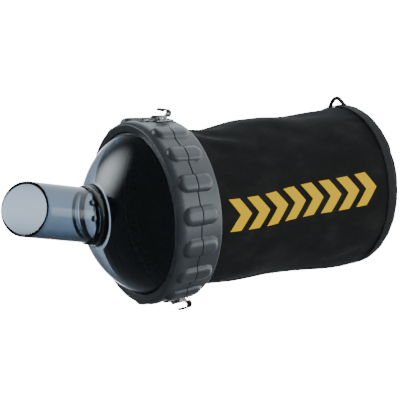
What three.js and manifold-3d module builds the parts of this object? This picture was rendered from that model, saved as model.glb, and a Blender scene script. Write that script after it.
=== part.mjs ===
// Dust bag for an electric hand planer: a clear domed cover with an angled spout, a two-part gripped
// collar that two draw latches hold shut, and a cloth bag behind it. Millimetres, +Z up.
//
// The parts are laid out about the collar's own axis, which is X, with X = 0 at the collar's front edge.
// The whole assembly is then shifted so that the origin is the middle of the spout's mouth.
import * as THREE from "three";
import { mergeVertices } from "three/addons/utils/BufferGeometryUtils.js";
import Module from "manifold-3d";

const wasm = await Module();
wasm.setup();

// ---- Driving dimensions, in millimetres and degrees ----
const GAP = 0.3; // clearance between neighbouring pieces
const ROUND = 48; // sides of the large turned pieces
const SMALL_ROUND = 8; // sides of pins, rivets and wire

const COLLAR_LENGTH = 43;
const COLLAR_FRONT_RADIUS = 81;
const COLLAR_REAR_RADIUS = 77.9;
const COLLAR_WALL = 3.2;
const COLLAR_EDGE = 1.6; // rounding of the collar's outer edges
const SEAM_X = 21; // middle of the gap between the two halves of the collar
const SEAM_WIDTH = 0.5;
const LIP_FRONT = 2; // how far the inner edge of the lip stands ahead of the collar
const LIP_WIDTH = 11; // from the collar's outside in to the lip's opening
const LIP_THICKNESS = 3.2;
const LIP_FLAT = 1.5; // width of the lip's flat front edge
const LIP_EDGE = [0.6, 3]; // where the lip's slope meets the collar's rounding: ahead of it and inside it
const SPIGOT_LENGTH = 7;
const SPIGOT_WALL = 2.5;
const REAR_FLANGE = 3;

const BUMP_PITCH = 20; // degrees between neighbouring grip bumps
const BUMP_FIRST = 93; // degrees about X from straight up to the bump nearest -Y
const BUMP_START = 3.5; // from the collar's front edge to the bumps
const BUMP_LENGTH = 35;
const BUMP_WIDTH = 15.5;
const BUMP_HEIGHT = 3.6;
const BUMP_CHAMFER = 2.2;
const BUMP_ROOT = 2.6; // how far a bump reaches into the collar's wall

const DOME_RISE = 42.3; // from the lip's front to the top of the dome
const DOME_WALL = 2.2;
const DOME_FLANGE = 2.5;
const GASKET_THICKNESS = 2;
const RETAINER_THICKNESS = 3;
const RING_WIDTH = 6; // of the gasket and the retaining ring
const SEAL_THICKNESS = 3.4;

const SPOUT_OUTER = 47;
const SPOUT_WALL = 2.4;
const SPOUT_LENGTH = 59.1; // along its axis, from the dome to the middle of the mouth
const SPOUT_DROP = 12.7; // how far its axis passes below the dome's centre
const SPOUT_TILT = 12.3; // degrees that the spout rises away from the dome
const SPOUT_MITRE = 25.6; // degrees that the mouth is cut away from square, towards -Y
const SPOUT_INSIDE = 4; // how far the tube reaches into the dome
const SPOUT_LUGS = [-8, 24]; // degrees round the tube from -Y towards the bottom
const LUG = [4, 5, 2.6]; // along the tube, round it and outwards
const LUG_CLEAR = 3; // from a lug to the dome

const BAG_FLARE = 4.4; // how much wider the bag's radius is at its end than at its neck
const BAG_CLOTH = 1.2;
const BAG_LENGTH = 188.8; // from the back of the collar to the end seam
const BAG_FULL = 18.8; // length at the end over which the bag has its full width
const BAG_SWELL = 2.2; // how late the bag widens towards its end
const PIPING = 2.6;
const END_BULGE = 5;
const CLAMP_LENGTH = 12;
const CLAMP_WALL = 2.1;
const HEM_LENGTH = 6;
const HEM_THICKNESS = 2.8;
const LOOP_CORD = 2.8;
const LOOP_HALF_WIDTH = 11;
const LOOP_HEIGHT = 7.4;

const LATCH_ANGLES = { top: 10, bottom: 170 }; // degrees about X from straight up
const LATCH_SKIP = 12; // no bump stands within this many degrees of a latch
const SEAT_DEPTH = 0.9; // flat seat of the latches, below the collar's surface at the seam
const POCKET_DEPTH = 1.2; // floor of the catch's pocket, below the seat
const POCKET_MARGIN = 2.6; // from the catch's plate to the pocket's end
const SHEET = 0.8; // sheet steel of the latches
const BASE_LENGTH = 17;
const BASE_RIVETS = [9.5, 14.5]; // from the base's front edge
const LEVER_HALF_WIDTH = 4.8;
const EAR_RADIUS = 2;
const PIVOT_ALONG = 2.4; // from the base's front edge to the lever's hinge
const PIVOT_PIN = 0.9; // radius
const BAIL_ARM = 4; // from the lever's hinge back to the bail's hinge
const OVER_CENTRE = 0.6; // how far the bail's hinge then lies below the lever's
const BAIL_WIRE = 1.4;
const BAIL_REACH = 14.8; // from the bail's hinge forward to its cross bar
const LEVER_REACH = 13.2; // from the lever's hinge to the outside of its curl
const CURL_HEIGHT = 6; // from the lever's plate to the top of the finger curl
const CURL_LENGTH = 8.6;
const TIP = [3.4, 2]; // length and thickness of the soft tip
const CATCH_LENGTH = 9;
const CATCH_AHEAD = 5.4; // how much of the catch's plate lies in front of its hook
const CATCH_OVER = 0.3; // how far the hook's top stands above the bail's cross bar
const CATCH_HOOK = [1, 1.4, 0.2]; // hook's thickness at the plate, and its top's rear and front edges
const CATCH_RIVET_IN = 2; // from the catch's front edge to its rivet
const RIVET_RADIUS = 1.3;
const RIVET_HEAD = 0.7;

// ---- Solids: three.js shapes, joined and cut by manifold-3d ----
const radians = THREE.MathUtils.degToRad;

// A closed three.js geometry as a solid with its faces out.
function solid(geometry) {
  const source = geometry.clone();
  source.deleteAttribute("normal");
  source.deleteAttribute("uv");
  const merged = mergeVertices(source, 1e-4);
  const index = [];
  for (let i = 0; i < merged.index.count; i += 3) {
    const [a, b, c] = [0, 1, 2].map((k) => merged.index.getX(i + k));
    if (a !== b && b !== c && c !== a) index.push(a, b, c);
  }
  const made = (order) =>
    new wasm.Manifold(
      new wasm.Mesh({
        numProp: 3,
        vertProperties: merged.attributes.position.array,
        triVerts: new Uint32Array(order),
      }),
    );
  const body = made(index);
  return body.volume() > 0 ? body : made(index.reverse());
}

function geometryOf(body) {
  const mesh = body.getMesh();
  const geometry = new THREE.BufferGeometry();
  geometry.setAttribute("position", new THREE.BufferAttribute(mesh.vertProperties, 3));
  geometry.setIndex(new THREE.BufferAttribute(mesh.triVerts, 1));
  geometry.computeVertexNormals();
  return geometry;
}

// A profile of [x, radius] points turned about the X axis.
function turned(profile, sides = ROUND) {
  const points = profile.map(([x, r]) => new THREE.Vector2(r, x));
  return solid(new THREE.LatheGeometry(points, sides).rotateZ(-Math.PI / 2));
}

const ring = (x0, x1, inner, outer, sides = ROUND) =>
  turned([[x0, inner], [x1, inner], [x1, outer], [x0, outer], [x0, inner]], sides);

// Points of an arc in an [x, radius] profile; angles in degrees from +X.
function arc(x, r, radius, from, to, steps) {
  return Array.from({ length: steps + 1 }, (_, i) => {
    const angle = radians(from + ((to - from) * i) / steps);
    return [x + radius * Math.cos(angle), r + radius * Math.sin(angle)];
  });
}

function box([x0, x1], [y0, y1], [z0, z1]) {
  const shape = new THREE.BoxGeometry(x1 - x0, y1 - y0, z1 - z0);
  return solid(shape.translate((x0 + x1) / 2, (y0 + y1) / 2, (z0 + z1) / 2));
}

// A round bar along Y, Z or any turned direction, by its two ends.
function bar(from, to, radius, sides = SMALL_ROUND) {
  const [a, b] = [new THREE.Vector3(...from), new THREE.Vector3(...to)];
  const along = b.clone().sub(a);
  const shape = new THREE.CylinderGeometry(radius, radius, along.length(), sides);
  const up = new THREE.Vector3(0, 1, 0);
  shape.applyQuaternion(new THREE.Quaternion().setFromUnitVectors(up, along.clone().normalize()));
  const middle = a.add(b).multiplyScalar(0.5);
  return solid(shape.translate(middle.x, middle.y, middle.z));
}

// A flat outline in X and Z, extruded along Y from y0 to y1.
function sidePlate(shape, y0, y1, curveSegments = 5) {
  const settings = { depth: y1 - y0, bevelEnabled: false, curveSegments };
  const geometry = new THREE.ExtrudeGeometry(shape, settings);
  return solid(geometry.rotateX(Math.PI / 2).translate(0, y1, 0));
}

function piece(parent, name, body, color, roughness, metalness, opacity = 1) {
  const material = new THREE.MeshStandardMaterial({ color, roughness, metalness });
  material.opacity = opacity;
  material.transparent = opacity < 1;
  const mesh = new THREE.Mesh(geometryOf(body), material);
  mesh.name = name;
  parent.add(mesh);
}

const SMOKED = [0x77828a, 0.12, 0, 0.45];
const PLASTIC = [0x2b2f34, 0.45, 0];
const RUBBER = [0x151617, 0.85, 0];
const CLOTH = [0x1e1f20, 0.9, 0];
const STEEL = [0x84878a, 0.35, 0.9];

// ---- The dome and its spout ----
const collarRadius = (x) =>
  COLLAR_FRONT_RADIUS - ((COLLAR_FRONT_RADIUS - COLLAR_REAR_RADIUS) * x) / COLLAR_LENGTH;
const lipRadius = COLLAR_FRONT_RADIUS - LIP_WIDTH;
const lipBack = LIP_THICKNESS - LIP_FRONT;
// The dome is a part of a sphere that stands in the lip's opening with its rise in front of it.
const sphere = ((lipRadius - GAP) ** 2 + DOME_RISE ** 2) / (2 * DOME_RISE);
const domeCentre = sphere - DOME_RISE - LIP_FRONT;
const domeRadius = (x, radius = sphere) => Math.sqrt(radius ** 2 - (domeCentre - x) ** 2);

const flangeStart = lipBack + GAP;
const flangeEnd = flangeStart + DOME_FLANGE;
const gasketStart = flangeEnd + GAP;
const retainerStart = gasketStart + GASKET_THICKNESS + GAP;
const insideRadius = collarRadius(SEAM_X) - COLLAR_WALL;

const spoutAxis = new THREE.Vector3(-Math.cos(radians(SPOUT_TILT)), 0, Math.sin(radians(SPOUT_TILT)));
const spoutDown = new THREE.Vector3(-spoutAxis.z, 0, spoutAxis.x);
const mouth = new THREE.Vector3(domeCentre, 0, 0)
  .addScaledVector(spoutDown, SPOUT_DROP)
  .addScaledVector(spoutAxis, Math.sqrt(sphere ** 2 - SPOUT_DROP ** 2) + SPOUT_LENGTH);

// A round bar on the spout's axis; distances are from the mouth's middle, positive outwards.
function spoutBar(from, to, radius) {
  const end = (s) => mouth.clone().addScaledVector(spoutAxis, s).toArray();
  return bar(end(from), end(to), radius, ROUND - 8);
}

// How far down its axis, from the mouth, the tube's outside meets a sphere about the dome's centre
// at its last point, which is below the axis.
function meets(radius, below) {
  const middle = Math.sqrt(sphere ** 2 - SPOUT_DROP ** 2) + SPOUT_LENGTH;
  return middle - Math.sqrt(radius ** 2 - (SPOUT_DROP + below) ** 2);
}
const rootAt = meets(sphere - DOME_WALL, SPOUT_OUTER / 2);
const lugAt = meets(sphere, SPOUT_OUTER / 4) - LUG[0] - LUG_CLEAR;

// A half-space in front of the mitred mouth, as a large block.
function mouthCutter() {
  const size = 3 * SPOUT_OUTER;
  const shape = new THREE.BoxGeometry(size, size, size).translate(-size / 2, 0, 0);
  shape.rotateZ(radians(SPOUT_MITRE)).rotateY(radians(SPOUT_TILT));
  return solid(shape.translate(...mouth.toArray()));
}

// A small lug on the tube where it leaves the dome; the angle goes round from -Y towards the bottom.
function spoutLug(angle) {
  const [long, round, proud] = LUG;
  const shape = new THREE.BoxGeometry(long, proud + SPOUT_WALL, round);
  const out = SPOUT_OUTER / 2 + (proud - SPOUT_WALL) / 2;
  shape.translate(0, -out, 0).rotateX(radians(angle)).rotateY(radians(SPOUT_TILT));
  const place = mouth.clone().addScaledVector(spoutAxis, -(lugAt + long / 2));
  return solid(shape.translate(...place.toArray()));
}

function inletSpout() {
  const outside = SPOUT_OUTER;
  let tube = spoutBar(outside, -(rootAt + SPOUT_INSIDE), SPOUT_OUTER / 2);
  for (const angle of SPOUT_LUGS) tube = tube.add(spoutLug(angle));
  const bore = spoutBar(outside + 1, -(rootAt + SPOUT_INSIDE + 1), SPOUT_OUTER / 2 - SPOUT_WALL);
  return tube.subtract(bore).subtract(mouthCutter());
}

function domeCover() {
  const inner = sphere - DOME_WALL;
  const angleOf = (x, radius) =>
    THREE.MathUtils.radToDeg(Math.atan2(domeRadius(x, radius), x - domeCentre));
  const shell = turned([
    ...arc(domeCentre, 0, sphere, 180, angleOf(flangeStart, sphere), 9),
    [flangeStart, insideRadius - GAP],
    [flangeEnd, insideRadius - GAP],
    ...arc(domeCentre, 0, inner, angleOf(flangeEnd, inner), 180, 8),
  ]);
  return shell.subtract(spoutBar(0, -(rootAt + 3 * SPOUT_INSIDE), SPOUT_OUTER / 2 + GAP));
}

// ---- The collar ----
// One grip bump: a long pill with a chamfered top, standing on the collar at the given angle from +Z.
function bump(angle) {
  const half = BUMP_WIDTH / 2 - BUMP_CHAMFER;
  const straight = BUMP_LENGTH - BUMP_WIDTH;
  const outline = new THREE.Shape();
  outline.absarc(straight, 0, half, -Math.PI / 2, Math.PI / 2, false);
  outline.absarc(0, 0, half, Math.PI / 2, (3 * Math.PI) / 2, false);
  const geometry = new THREE.ExtrudeGeometry(outline, {
    depth: BUMP_HEIGHT + BUMP_ROOT - 2 * BUMP_CHAMFER,
    bevelSize: BUMP_CHAMFER,
    bevelThickness: BUMP_CHAMFER,
    bevelSegments: 1,
    curveSegments: 5,
  });
  const slope = Math.atan2(COLLAR_FRONT_RADIUS - COLLAR_REAR_RADIUS, COLLAR_LENGTH);
  const start = BUMP_START + BUMP_WIDTH / 2;
  const root = collarRadius(start) - BUMP_ROOT + BUMP_CHAMFER;
  geometry.rotateY(slope).translate(start, 0, root);
  return solid(geometry.rotateX(radians(angle)));
}

function bumps() {
  const angles = [];
  for (let angle = BUMP_FIRST; angle < BUMP_FIRST + 360; angle += BUMP_PITCH) {
    const near = Object.values(LATCH_ANGLES).some(
      (latch) => Math.abs(((angle - latch + 540) % 360) - 180) < LATCH_SKIP,
    );
    if (!near) angles.push(angle);
  }
  return angles.map(bump);
}

// Boxes in a latch's own place: X along the collar, Y round it and Z outwards.
function atLatch(angle, xs, halfWidth, zs) {
  const [x0, x1] = xs;
  const shape = new THREE.BoxGeometry(x1 - x0, 2 * halfWidth, zs[1] - zs[0]);
  shape.translate((x0 + x1) / 2, 0, (zs[0] + zs[1]) / 2);
  return solid(shape.rotateX(radians(angle)));
}

const seamHalf = SEAM_WIDTH / 2;
const grip = bumps();
const rearInner = insideRadius - GAP - SPIGOT_WALL;
const neckRadius = rearInner - 2 * GAP - HEM_THICKNESS;

// Places of the latches' pieces: X along the collar, and distances from its axis.
const seatRadius = collarRadius(SEAM_X) - SEAT_DEPTH;
const pocketRadius = seatRadius - POCKET_DEPTH;
const latchTop = COLLAR_FRONT_RADIUS + 2 * BUMP_HEIGHT;
const baseStart = SEAM_X + 2;
const baseEnd = baseStart + BASE_LENGTH;
const pocketEnd = baseStart - GAP;
const baseTop = seatRadius + GAP + SHEET;
const pivot = [baseStart + PIVOT_ALONG, baseTop + EAR_RADIUS];
const earHalfWidth = LEVER_HALF_WIDTH + GAP + SHEET;
const seatHalfWidth = earHalfWidth + 2 * GAP + RIVET_HEAD + GAP;
const bailPin = [pivot[0] + BAIL_ARM, pivot[1] - OVER_CENTRE];
const bailHalfWidth = LEVER_HALF_WIDTH - SHEET - GAP - BAIL_WIRE / 2;
// The bail's legs slope down past the base's front edge at its closest allowed height.
const bailRest = baseTop + GAP + BAIL_WIRE / 2;
const bailFall = (bailPin[1] - bailRest) / (bailPin[0] - baseStart);
const crossBar = [bailPin[0] - BAIL_REACH, bailPin[1] - bailFall * BAIL_REACH];
const leverEnd = pivot[0] + LEVER_REACH;
const leverPlate = bailPin[1] + BAIL_WIRE / 2 + 1.5 * GAP;
const hookStart = crossBar[0] + BAIL_WIRE / 2 + GAP;
const catchStart = hookStart - CATCH_AHEAD;
const catchRivet = catchStart + CATCH_RIVET_IN;
const pocketStart = catchStart - POCKET_MARGIN;

function frontCollar() {
  const end = SEAM_X - seamHalf;
  const inner = collarRadius(end) - COLLAR_WALL;
  let body = turned([
    [end, inner],
    [lipBack, inner],
    [lipBack, domeRadius(lipBack) + GAP],
    [-LIP_FRONT, lipRadius],
    [-LIP_FRONT, lipRadius + LIP_FLAT],
    [-LIP_EDGE[0], COLLAR_FRONT_RADIUS - LIP_EDGE[1]],
    ...arc(COLLAR_EDGE, COLLAR_FRONT_RADIUS - COLLAR_EDGE, COLLAR_EDGE, 170, 90, 3),
    [end, collarRadius(end)],
    [end, inner],
  ]);
  for (const pill of grip) {
    const wall = SEAM_X - seamHalf;
    body = body.add(pill.intersect(box([-50, wall], [-200, 200], [-200, 200])));
  }
  for (const angle of Object.values(LATCH_ANGLES)) {
    const floor = [pocketRadius, latchTop];
    body = body.subtract(atLatch(angle, [pocketStart, pocketEnd], seatHalfWidth, floor));
  }
  return body;
}

function rearCollar() {
  const start = SEAM_X + seamHalf;
  const end = COLLAR_LENGTH;
  const outer = insideRadius - GAP;
  const inner = rearInner;
  let body = turned([
    [start - SPIGOT_LENGTH, inner],
    [start - SPIGOT_LENGTH, outer],
    [start, outer],
    [start, collarRadius(start)],
    ...arc(end - COLLAR_EDGE, COLLAR_REAR_RADIUS - COLLAR_EDGE, COLLAR_EDGE, 90, 0, 3),
    [end, neckRadius + GAP],
    [end - REAR_FLANGE, neckRadius + GAP],
    [end - REAR_FLANGE, inner],
    [start - SPIGOT_LENGTH, inner],
  ]);
  for (const pill of grip) {
    body = body.add(pill.intersect(box([start, 100], [-200, 200], [-200, 200])));
  }
  for (const angle of Object.values(LATCH_ANGLES)) {
    const seat = [seatRadius - COLLAR_WALL, seatRadius];
    body = body.add(atLatch(angle, [start, baseEnd + 1], seatHalfWidth, seat));
    const above = [seatRadius, latchTop];
    body = body.subtract(atLatch(angle, [start - 1, end + baseEnd], seatHalfWidth, above));
    const notch = [pocketRadius, latchTop];
    body = body.subtract(atLatch(angle, [start - 1, pocketEnd], seatHalfWidth, notch));
  }
  return body;
}

// ---- The cloth bag ----
const bagEnd = COLLAR_LENGTH + BAG_LENGTH;
const clampEnd = COLLAR_LENGTH - REAR_FLANGE;
const clampStart = clampEnd - CLAMP_LENGTH;
const clothStart = clampStart - 2;
const clothEnd = bagEnd - PIPING / 2 - GAP;

function bagRadius(x) {
  const t = (x - COLLAR_LENGTH) / (BAG_LENGTH - BAG_FULL);
  return neckRadius + BAG_FLARE * THREE.MathUtils.clamp(t, 0, 1) ** BAG_SWELL;
}

function bagCloth() {
  const steps = 6;
  const outside = Array.from({ length: steps + 1 }, (_, i) => {
    const x = COLLAR_LENGTH + ((clothEnd - COLLAR_LENGTH) * i) / steps;
    return [x, bagRadius(x)];
  });
  const inside = outside.map(([x, r]) => [x, r - BAG_CLOTH]).reverse();
  const neck = [clothStart, neckRadius];
  const inner = [clothStart, neckRadius - BAG_CLOTH];
  return turned([neck, ...outside, ...inside, inner, neck]);
}

const panelStart = bagEnd + PIPING / 2 + GAP;
const endRadius = neckRadius + BAG_FLARE - PIPING / 2;

function endPanel() {
  const crown = [0, 0.4, 0.7, 0.9, 1];
  const face = (lift) => crown.map((t) => [panelStart + lift + END_BULGE * (1 - t ** 2), endRadius * t]);
  return turned([...face(0), ...face(BAG_CLOTH).reverse()]);
}

const piping = () => turned(arc(bagEnd, endRadius, PIPING / 2, 0, 360, 6));

function hangingLoop() {
  const foot = Math.sqrt((endRadius + PIPING / 2) ** 2 - LOOP_HALF_WIDTH ** 2) + 2 * GAP;
  const points = [
    [-1, 0],
    [-0.93, 0.3],
    [-0.6, 0.8],
    [0, 1],
    [0.6, 0.8],
    [0.93, 0.3],
    [1, 0],
  ].map(([y, z]) => new THREE.Vector3(bagEnd, y * LOOP_HALF_WIDTH, foot + z * LOOP_HEIGHT));
  const section = new THREE.Shape().absarc(0, 0, LOOP_CORD / 2, 0, 2 * Math.PI, false);
  const settings = { steps: 14, extrudePath: new THREE.CatmullRomCurve3(points), curveSegments: 4 };
  return solid(new THREE.ExtrudeGeometry(section, settings));
}

// ---- A draw latch, laid out with X along the collar, Y round it and Z outwards ----
function latchBase() {
  const floor = seatRadius + GAP;
  let body = box([baseStart, baseEnd], [-earHalfWidth, earHalfWidth], [floor, floor + SHEET]);
  const ear = new THREE.Shape();
  ear.moveTo(pivot[0] - EAR_RADIUS, floor);
  ear.lineTo(pivot[0] + EAR_RADIUS, floor);
  ear.absarc(pivot[0], pivot[1], EAR_RADIUS, 0, Math.PI, false);
  for (const y0 of [-earHalfWidth, earHalfWidth - SHEET]) {
    body = body.add(sidePlate(ear, y0, y0 + SHEET));
  }
  const hole = PIVOT_PIN + GAP;
  body = body.subtract(bar([pivot[0], -9, pivot[1]], [pivot[0], 9, pivot[1]], hole));
  for (const x of rivetPlaces) {
    body = body.subtract(bar([x, 0, floor - 1], [x, 0, floor + 2], RIVET_RADIUS / 2 + GAP));
  }
  return body;
}

const rivetPlaces = BASE_RIVETS.map((along) => baseStart + along);

// A rivet: a low round head and a shank that stops just clear of the part below it.
function rivet(x, plateTop) {
  const shank = SHEET;
  const head = bar([x, 0, plateTop + GAP], [x, 0, plateTop + GAP + RIVET_HEAD], RIVET_RADIUS);
  return head.add(bar([x, 0, plateTop - shank], [x, 0, plateTop + GAP + 0.1], RIVET_RADIUS / 2));
}

function pivotRivet(side) {
  const inner = side * (LEVER_HALF_WIDTH - SHEET);
  const outer = side * (earHalfWidth + GAP);
  const at = (y) => [pivot[0], y, pivot[1]];
  const pin = bar(at(inner), at(outer + side * 0.1), PIVOT_PIN);
  return pin.add(bar(at(outer), at(outer + side * RIVET_HEAD), EAR_RADIUS - 0.4));
}

function latchLever() {
  const cheek = new THREE.Shape();
  const low = pivot[1] - EAR_RADIUS + 0.2;
  const reach = pivot[1] - low;
  const cheekEnd = bailPin[0] + 4;
  cheek.moveTo(pivot[0], low);
  cheek.lineTo(cheekEnd - 1, low);
  cheek.lineTo(cheekEnd + 1, leverPlate + SHEET);
  cheek.lineTo(pivot[0], pivot[1] + reach);
  cheek.absarc(pivot[0], pivot[1], reach, Math.PI / 2, (3 * Math.PI) / 2, false);
  const plateStart = bailPin[0] + 1.6;
  const plate = [leverPlate, leverPlate + SHEET];
  const across = [-LEVER_HALF_WIDTH, LEVER_HALF_WIDTH];
  let body = box([plateStart, leverEnd - 1], across, plate);
  for (const y0 of [-LEVER_HALF_WIDTH, LEVER_HALF_WIDTH - SHEET]) {
    body = body.add(sidePlate(cheek, y0, y0 + SHEET));
  }
  body = body.add(fingerCurl(plate[0]));
  for (const [[x, z], radius] of [[pivot, PIVOT_PIN + GAP], [bailPin, BAIL_WIRE / 2 + 0.2]]) {
    body = body.subtract(bar([x, -9, z], [x, 9, z], radius));
  }
  return body;
}

// The lever's end: a strip that turns up and back over the plate, for a finger.
function fingerCurl(bottom) {
  const radius = CURL_HEIGHT / 2 + SHEET / 2;
  const centre = bottom + radius;
  const x = leverEnd - radius;
  const strip = new THREE.Shape();
  strip.moveTo(x - 1.2, bottom);
  strip.lineTo(x, bottom);
  strip.absarc(x, centre, radius, -Math.PI / 2, Math.PI / 2, false);
  strip.lineTo(leverEnd - CURL_LENGTH, centre + radius);
  strip.lineTo(leverEnd - CURL_LENGTH, centre + radius - SHEET);
  strip.lineTo(x, centre + radius - SHEET);
  strip.absarc(x, centre, radius - SHEET, Math.PI / 2, -Math.PI / 2, true);
  strip.lineTo(x - 1.2, bottom + SHEET);
  return sidePlate(strip, -LEVER_HALF_WIDTH + 0.6, LEVER_HALF_WIDTH - 0.6, 6);
}

// A soft cap over the curl's free end, with a slot for the sheet.
function leverTip() {
  const [long, thick] = TIP;
  const middle = leverPlate + CURL_HEIGHT + SHEET / 2;
  const front = leverEnd - CURL_LENGTH - long / 2;
  const width = LEVER_HALF_WIDTH - 0.2;
  const cap = new THREE.Shape();
  cap.absarc(front + thick / 2, middle, thick / 2, Math.PI / 2, (3 * Math.PI) / 2, false);
  cap.lineTo(front + long, middle - thick / 2);
  cap.lineTo(front + long, middle + thick / 2);
  const slot = [middle - SHEET / 2 - 0.25, middle + SHEET / 2 + 0.25];
  const start = leverEnd - CURL_LENGTH - 0.25;
  const body = sidePlate(cap, -width, width);
  return body.subtract(box([start, front + long + 1], [-width + 0.3, width - 0.3], slot));
}

// A wire loop: two legs, a cross bar in front of the catch, and ends turned out into the lever.
function latchBail() {
  const radius = BAIL_WIRE / 2;
  const ends = LEVER_HALF_WIDTH + 0.1;
  const at = ([x, z], y) => [x, y, z];
  let body = bar(at(crossBar, -bailHalfWidth - radius), at(crossBar, bailHalfWidth + radius), radius);
  for (const side of [-1, 1]) {
    const y = side * bailHalfWidth;
    body = body.add(bar(at(crossBar, y), at(bailPin, y), radius));
    body = body.add(bar(at(bailPin, y - side * radius), at(bailPin, side * ends), radius));
  }
  return body;
}

// A small hook plate in the pocket of the front half.
function latchCatch() {
  const floor = pocketRadius + GAP;
  const width = bailHalfWidth - BAIL_WIRE / 2 - 0.4;
  const plate = [catchStart, catchStart + CATCH_LENGTH];
  let body = box(plate, [-LEVER_HALF_WIDTH, LEVER_HALF_WIDTH], [floor, floor + SHEET]);
  const hook = new THREE.Shape();
  const top = crossBar[1] + BAIL_WIRE / 2 + CATCH_OVER;
  const [thick, topRear, topFront] = CATCH_HOOK;
  hook.moveTo(hookStart, floor);
  hook.lineTo(hookStart + thick, floor);
  hook.lineTo(hookStart + topRear, top);
  hook.lineTo(hookStart + topFront, top);
  body = body.add(sidePlate(hook, -width, width));
  const hole = RIVET_RADIUS / 2 + GAP;
  return body.subtract(bar([catchRivet, 0, floor - 1], [catchRivet, 0, floor + 2], hole));
}

function latch(parent, name, angle) {
  const group = new THREE.Group();
  group.rotation.x = radians(angle);
  parent.add(group);
  piece(group, name + "_latch_base", latchBase(), ...STEEL);
  piece(group, name + "_base_rivet_front", rivet(rivetPlaces[0], baseTop), ...STEEL);
  piece(group, name + "_base_rivet_rear", rivet(rivetPlaces[1], baseTop), ...STEEL);
  piece(group, name + "_pivot_rivet_left", pivotRivet(-1), ...STEEL);
  piece(group, name + "_pivot_rivet_right", pivotRivet(1), ...STEEL);
  piece(group, name + "_latch_lever", latchLever(), ...STEEL);
  piece(group, name + "_lever_tip", leverTip(), ...RUBBER);
  piece(group, name + "_latch_bail", latchBail(), ...STEEL);
  piece(group, name + "_latch_catch", latchCatch(), ...STEEL);
  piece(group, name + "_catch_rivet", rivet(catchRivet, pocketRadius + GAP + SHEET), ...STEEL);
}

// ---- Assembly ----
const assembly = new THREE.Group();
assembly.position.copy(mouth).negate();
const ringInner = insideRadius - GAP - RING_WIDTH;
piece(assembly, "inlet_spout", inletSpout(), ...SMOKED);
piece(assembly, "dome_cover", domeCover(), ...SMOKED);
const gasketEnd = gasketStart + GASKET_THICKNESS;
const retainerEnd = retainerStart + RETAINER_THICKNESS;
piece(assembly, "dome_gasket", ring(gasketStart, gasketEnd, ringInner, insideRadius - GAP), ...RUBBER);
piece(
  assembly,
  "dome_retaining_ring",
  ring(retainerStart, retainerEnd, ringInner, insideRadius - GAP),
  ...PLASTIC,
);
const sealEnd = SEAM_X + seamHalf - SPIGOT_LENGTH - GAP;
piece(
  assembly,
  "collar_seal",
  ring(sealEnd - SEAL_THICKNESS, sealEnd, rearInner, insideRadius - GAP),
  ...RUBBER,
);
piece(assembly, "front_collar", frontCollar(), ...PLASTIC);
piece(assembly, "rear_collar", rearCollar(), ...PLASTIC);
const clampOuter = neckRadius - BAG_CLOTH - GAP;
piece(
  assembly,
  "bag_clamp_ring",
  ring(clampStart, clampEnd, clampOuter - CLAMP_WALL, clampOuter),
  ...STEEL,
);
const hemEnd = clampEnd - GAP;
const hemInner = neckRadius + GAP;
piece(
  assembly,
  "bag_neck_hem",
  ring(hemEnd - HEM_LENGTH, hemEnd, hemInner, hemInner + HEM_THICKNESS),
  ...CLOTH,
);
piece(assembly, "bag_cloth", bagCloth(), ...CLOTH);
piece(assembly, "bag_end_piping", piping(), ...CLOTH);
piece(assembly, "bag_end_panel", endPanel(), ...CLOTH);
piece(assembly, "hanging_loop", hangingLoop(), ...CLOTH);
for (const [name, angle] of Object.entries(LATCH_ANGLES)) latch(assembly, name, angle);

const dustBag = new THREE.Group();
dustBag.name = "dust_bag";
dustBag.add(assembly);
export default dustBag;
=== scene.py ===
"""Dust bag of a hand planer: smoked dome and spout, gripped collar, two draw latches and a cloth bag."""
import math
import random

import bmesh
import bpy
import numpy as np
from bpy.props import FloatProperty, FloatVectorProperty, IntProperty, PointerProperty
from mathutils import Matrix, Vector


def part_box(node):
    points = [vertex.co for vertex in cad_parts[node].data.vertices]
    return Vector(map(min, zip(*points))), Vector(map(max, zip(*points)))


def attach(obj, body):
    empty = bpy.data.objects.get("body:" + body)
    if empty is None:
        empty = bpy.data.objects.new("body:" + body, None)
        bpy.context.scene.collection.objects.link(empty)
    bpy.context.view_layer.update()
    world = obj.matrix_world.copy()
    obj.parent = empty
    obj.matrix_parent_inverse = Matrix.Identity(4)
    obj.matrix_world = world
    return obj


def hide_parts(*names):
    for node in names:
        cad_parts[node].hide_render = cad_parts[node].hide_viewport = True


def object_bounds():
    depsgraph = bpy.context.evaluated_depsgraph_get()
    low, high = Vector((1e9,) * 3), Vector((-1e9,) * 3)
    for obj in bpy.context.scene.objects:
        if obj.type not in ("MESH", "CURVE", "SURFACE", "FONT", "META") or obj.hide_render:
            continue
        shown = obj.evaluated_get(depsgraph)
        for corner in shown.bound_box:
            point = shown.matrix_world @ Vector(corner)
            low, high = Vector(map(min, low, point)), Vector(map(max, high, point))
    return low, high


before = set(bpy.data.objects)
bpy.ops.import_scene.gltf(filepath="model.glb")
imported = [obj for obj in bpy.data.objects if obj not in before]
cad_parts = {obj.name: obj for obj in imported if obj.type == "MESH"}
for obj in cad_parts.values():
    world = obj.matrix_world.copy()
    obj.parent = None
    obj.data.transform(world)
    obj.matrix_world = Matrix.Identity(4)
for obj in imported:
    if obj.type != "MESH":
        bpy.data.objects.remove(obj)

bl_info = {
    "name": "Planer Dust Bag",
    "version": (1, 0, 0),
    "blender": (4, 5, 0),
    "location": "View3D > Sidebar > Dust Bag",
    "description": "Builds a planer's dust bag round its packed frame",
    "category": "Object",
}

CAD_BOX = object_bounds()
MM = 0.001
TAU = math.tau

# ---- Where the frame's parts are. X runs along the collar, from its front edge; turns are about that
# axis, from straight up towards -Y; lengths here are in millimetres. ----
LIP_AHEAD = 2.0
_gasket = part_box("dome_gasket")
AXIS_Y = (_gasket[0].y + _gasket[1].y) / 2
AXIS_Z = (_gasket[0].z + _gasket[1].z) / 2
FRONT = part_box("front_collar")[0].x + LIP_AHEAD * MM


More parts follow.
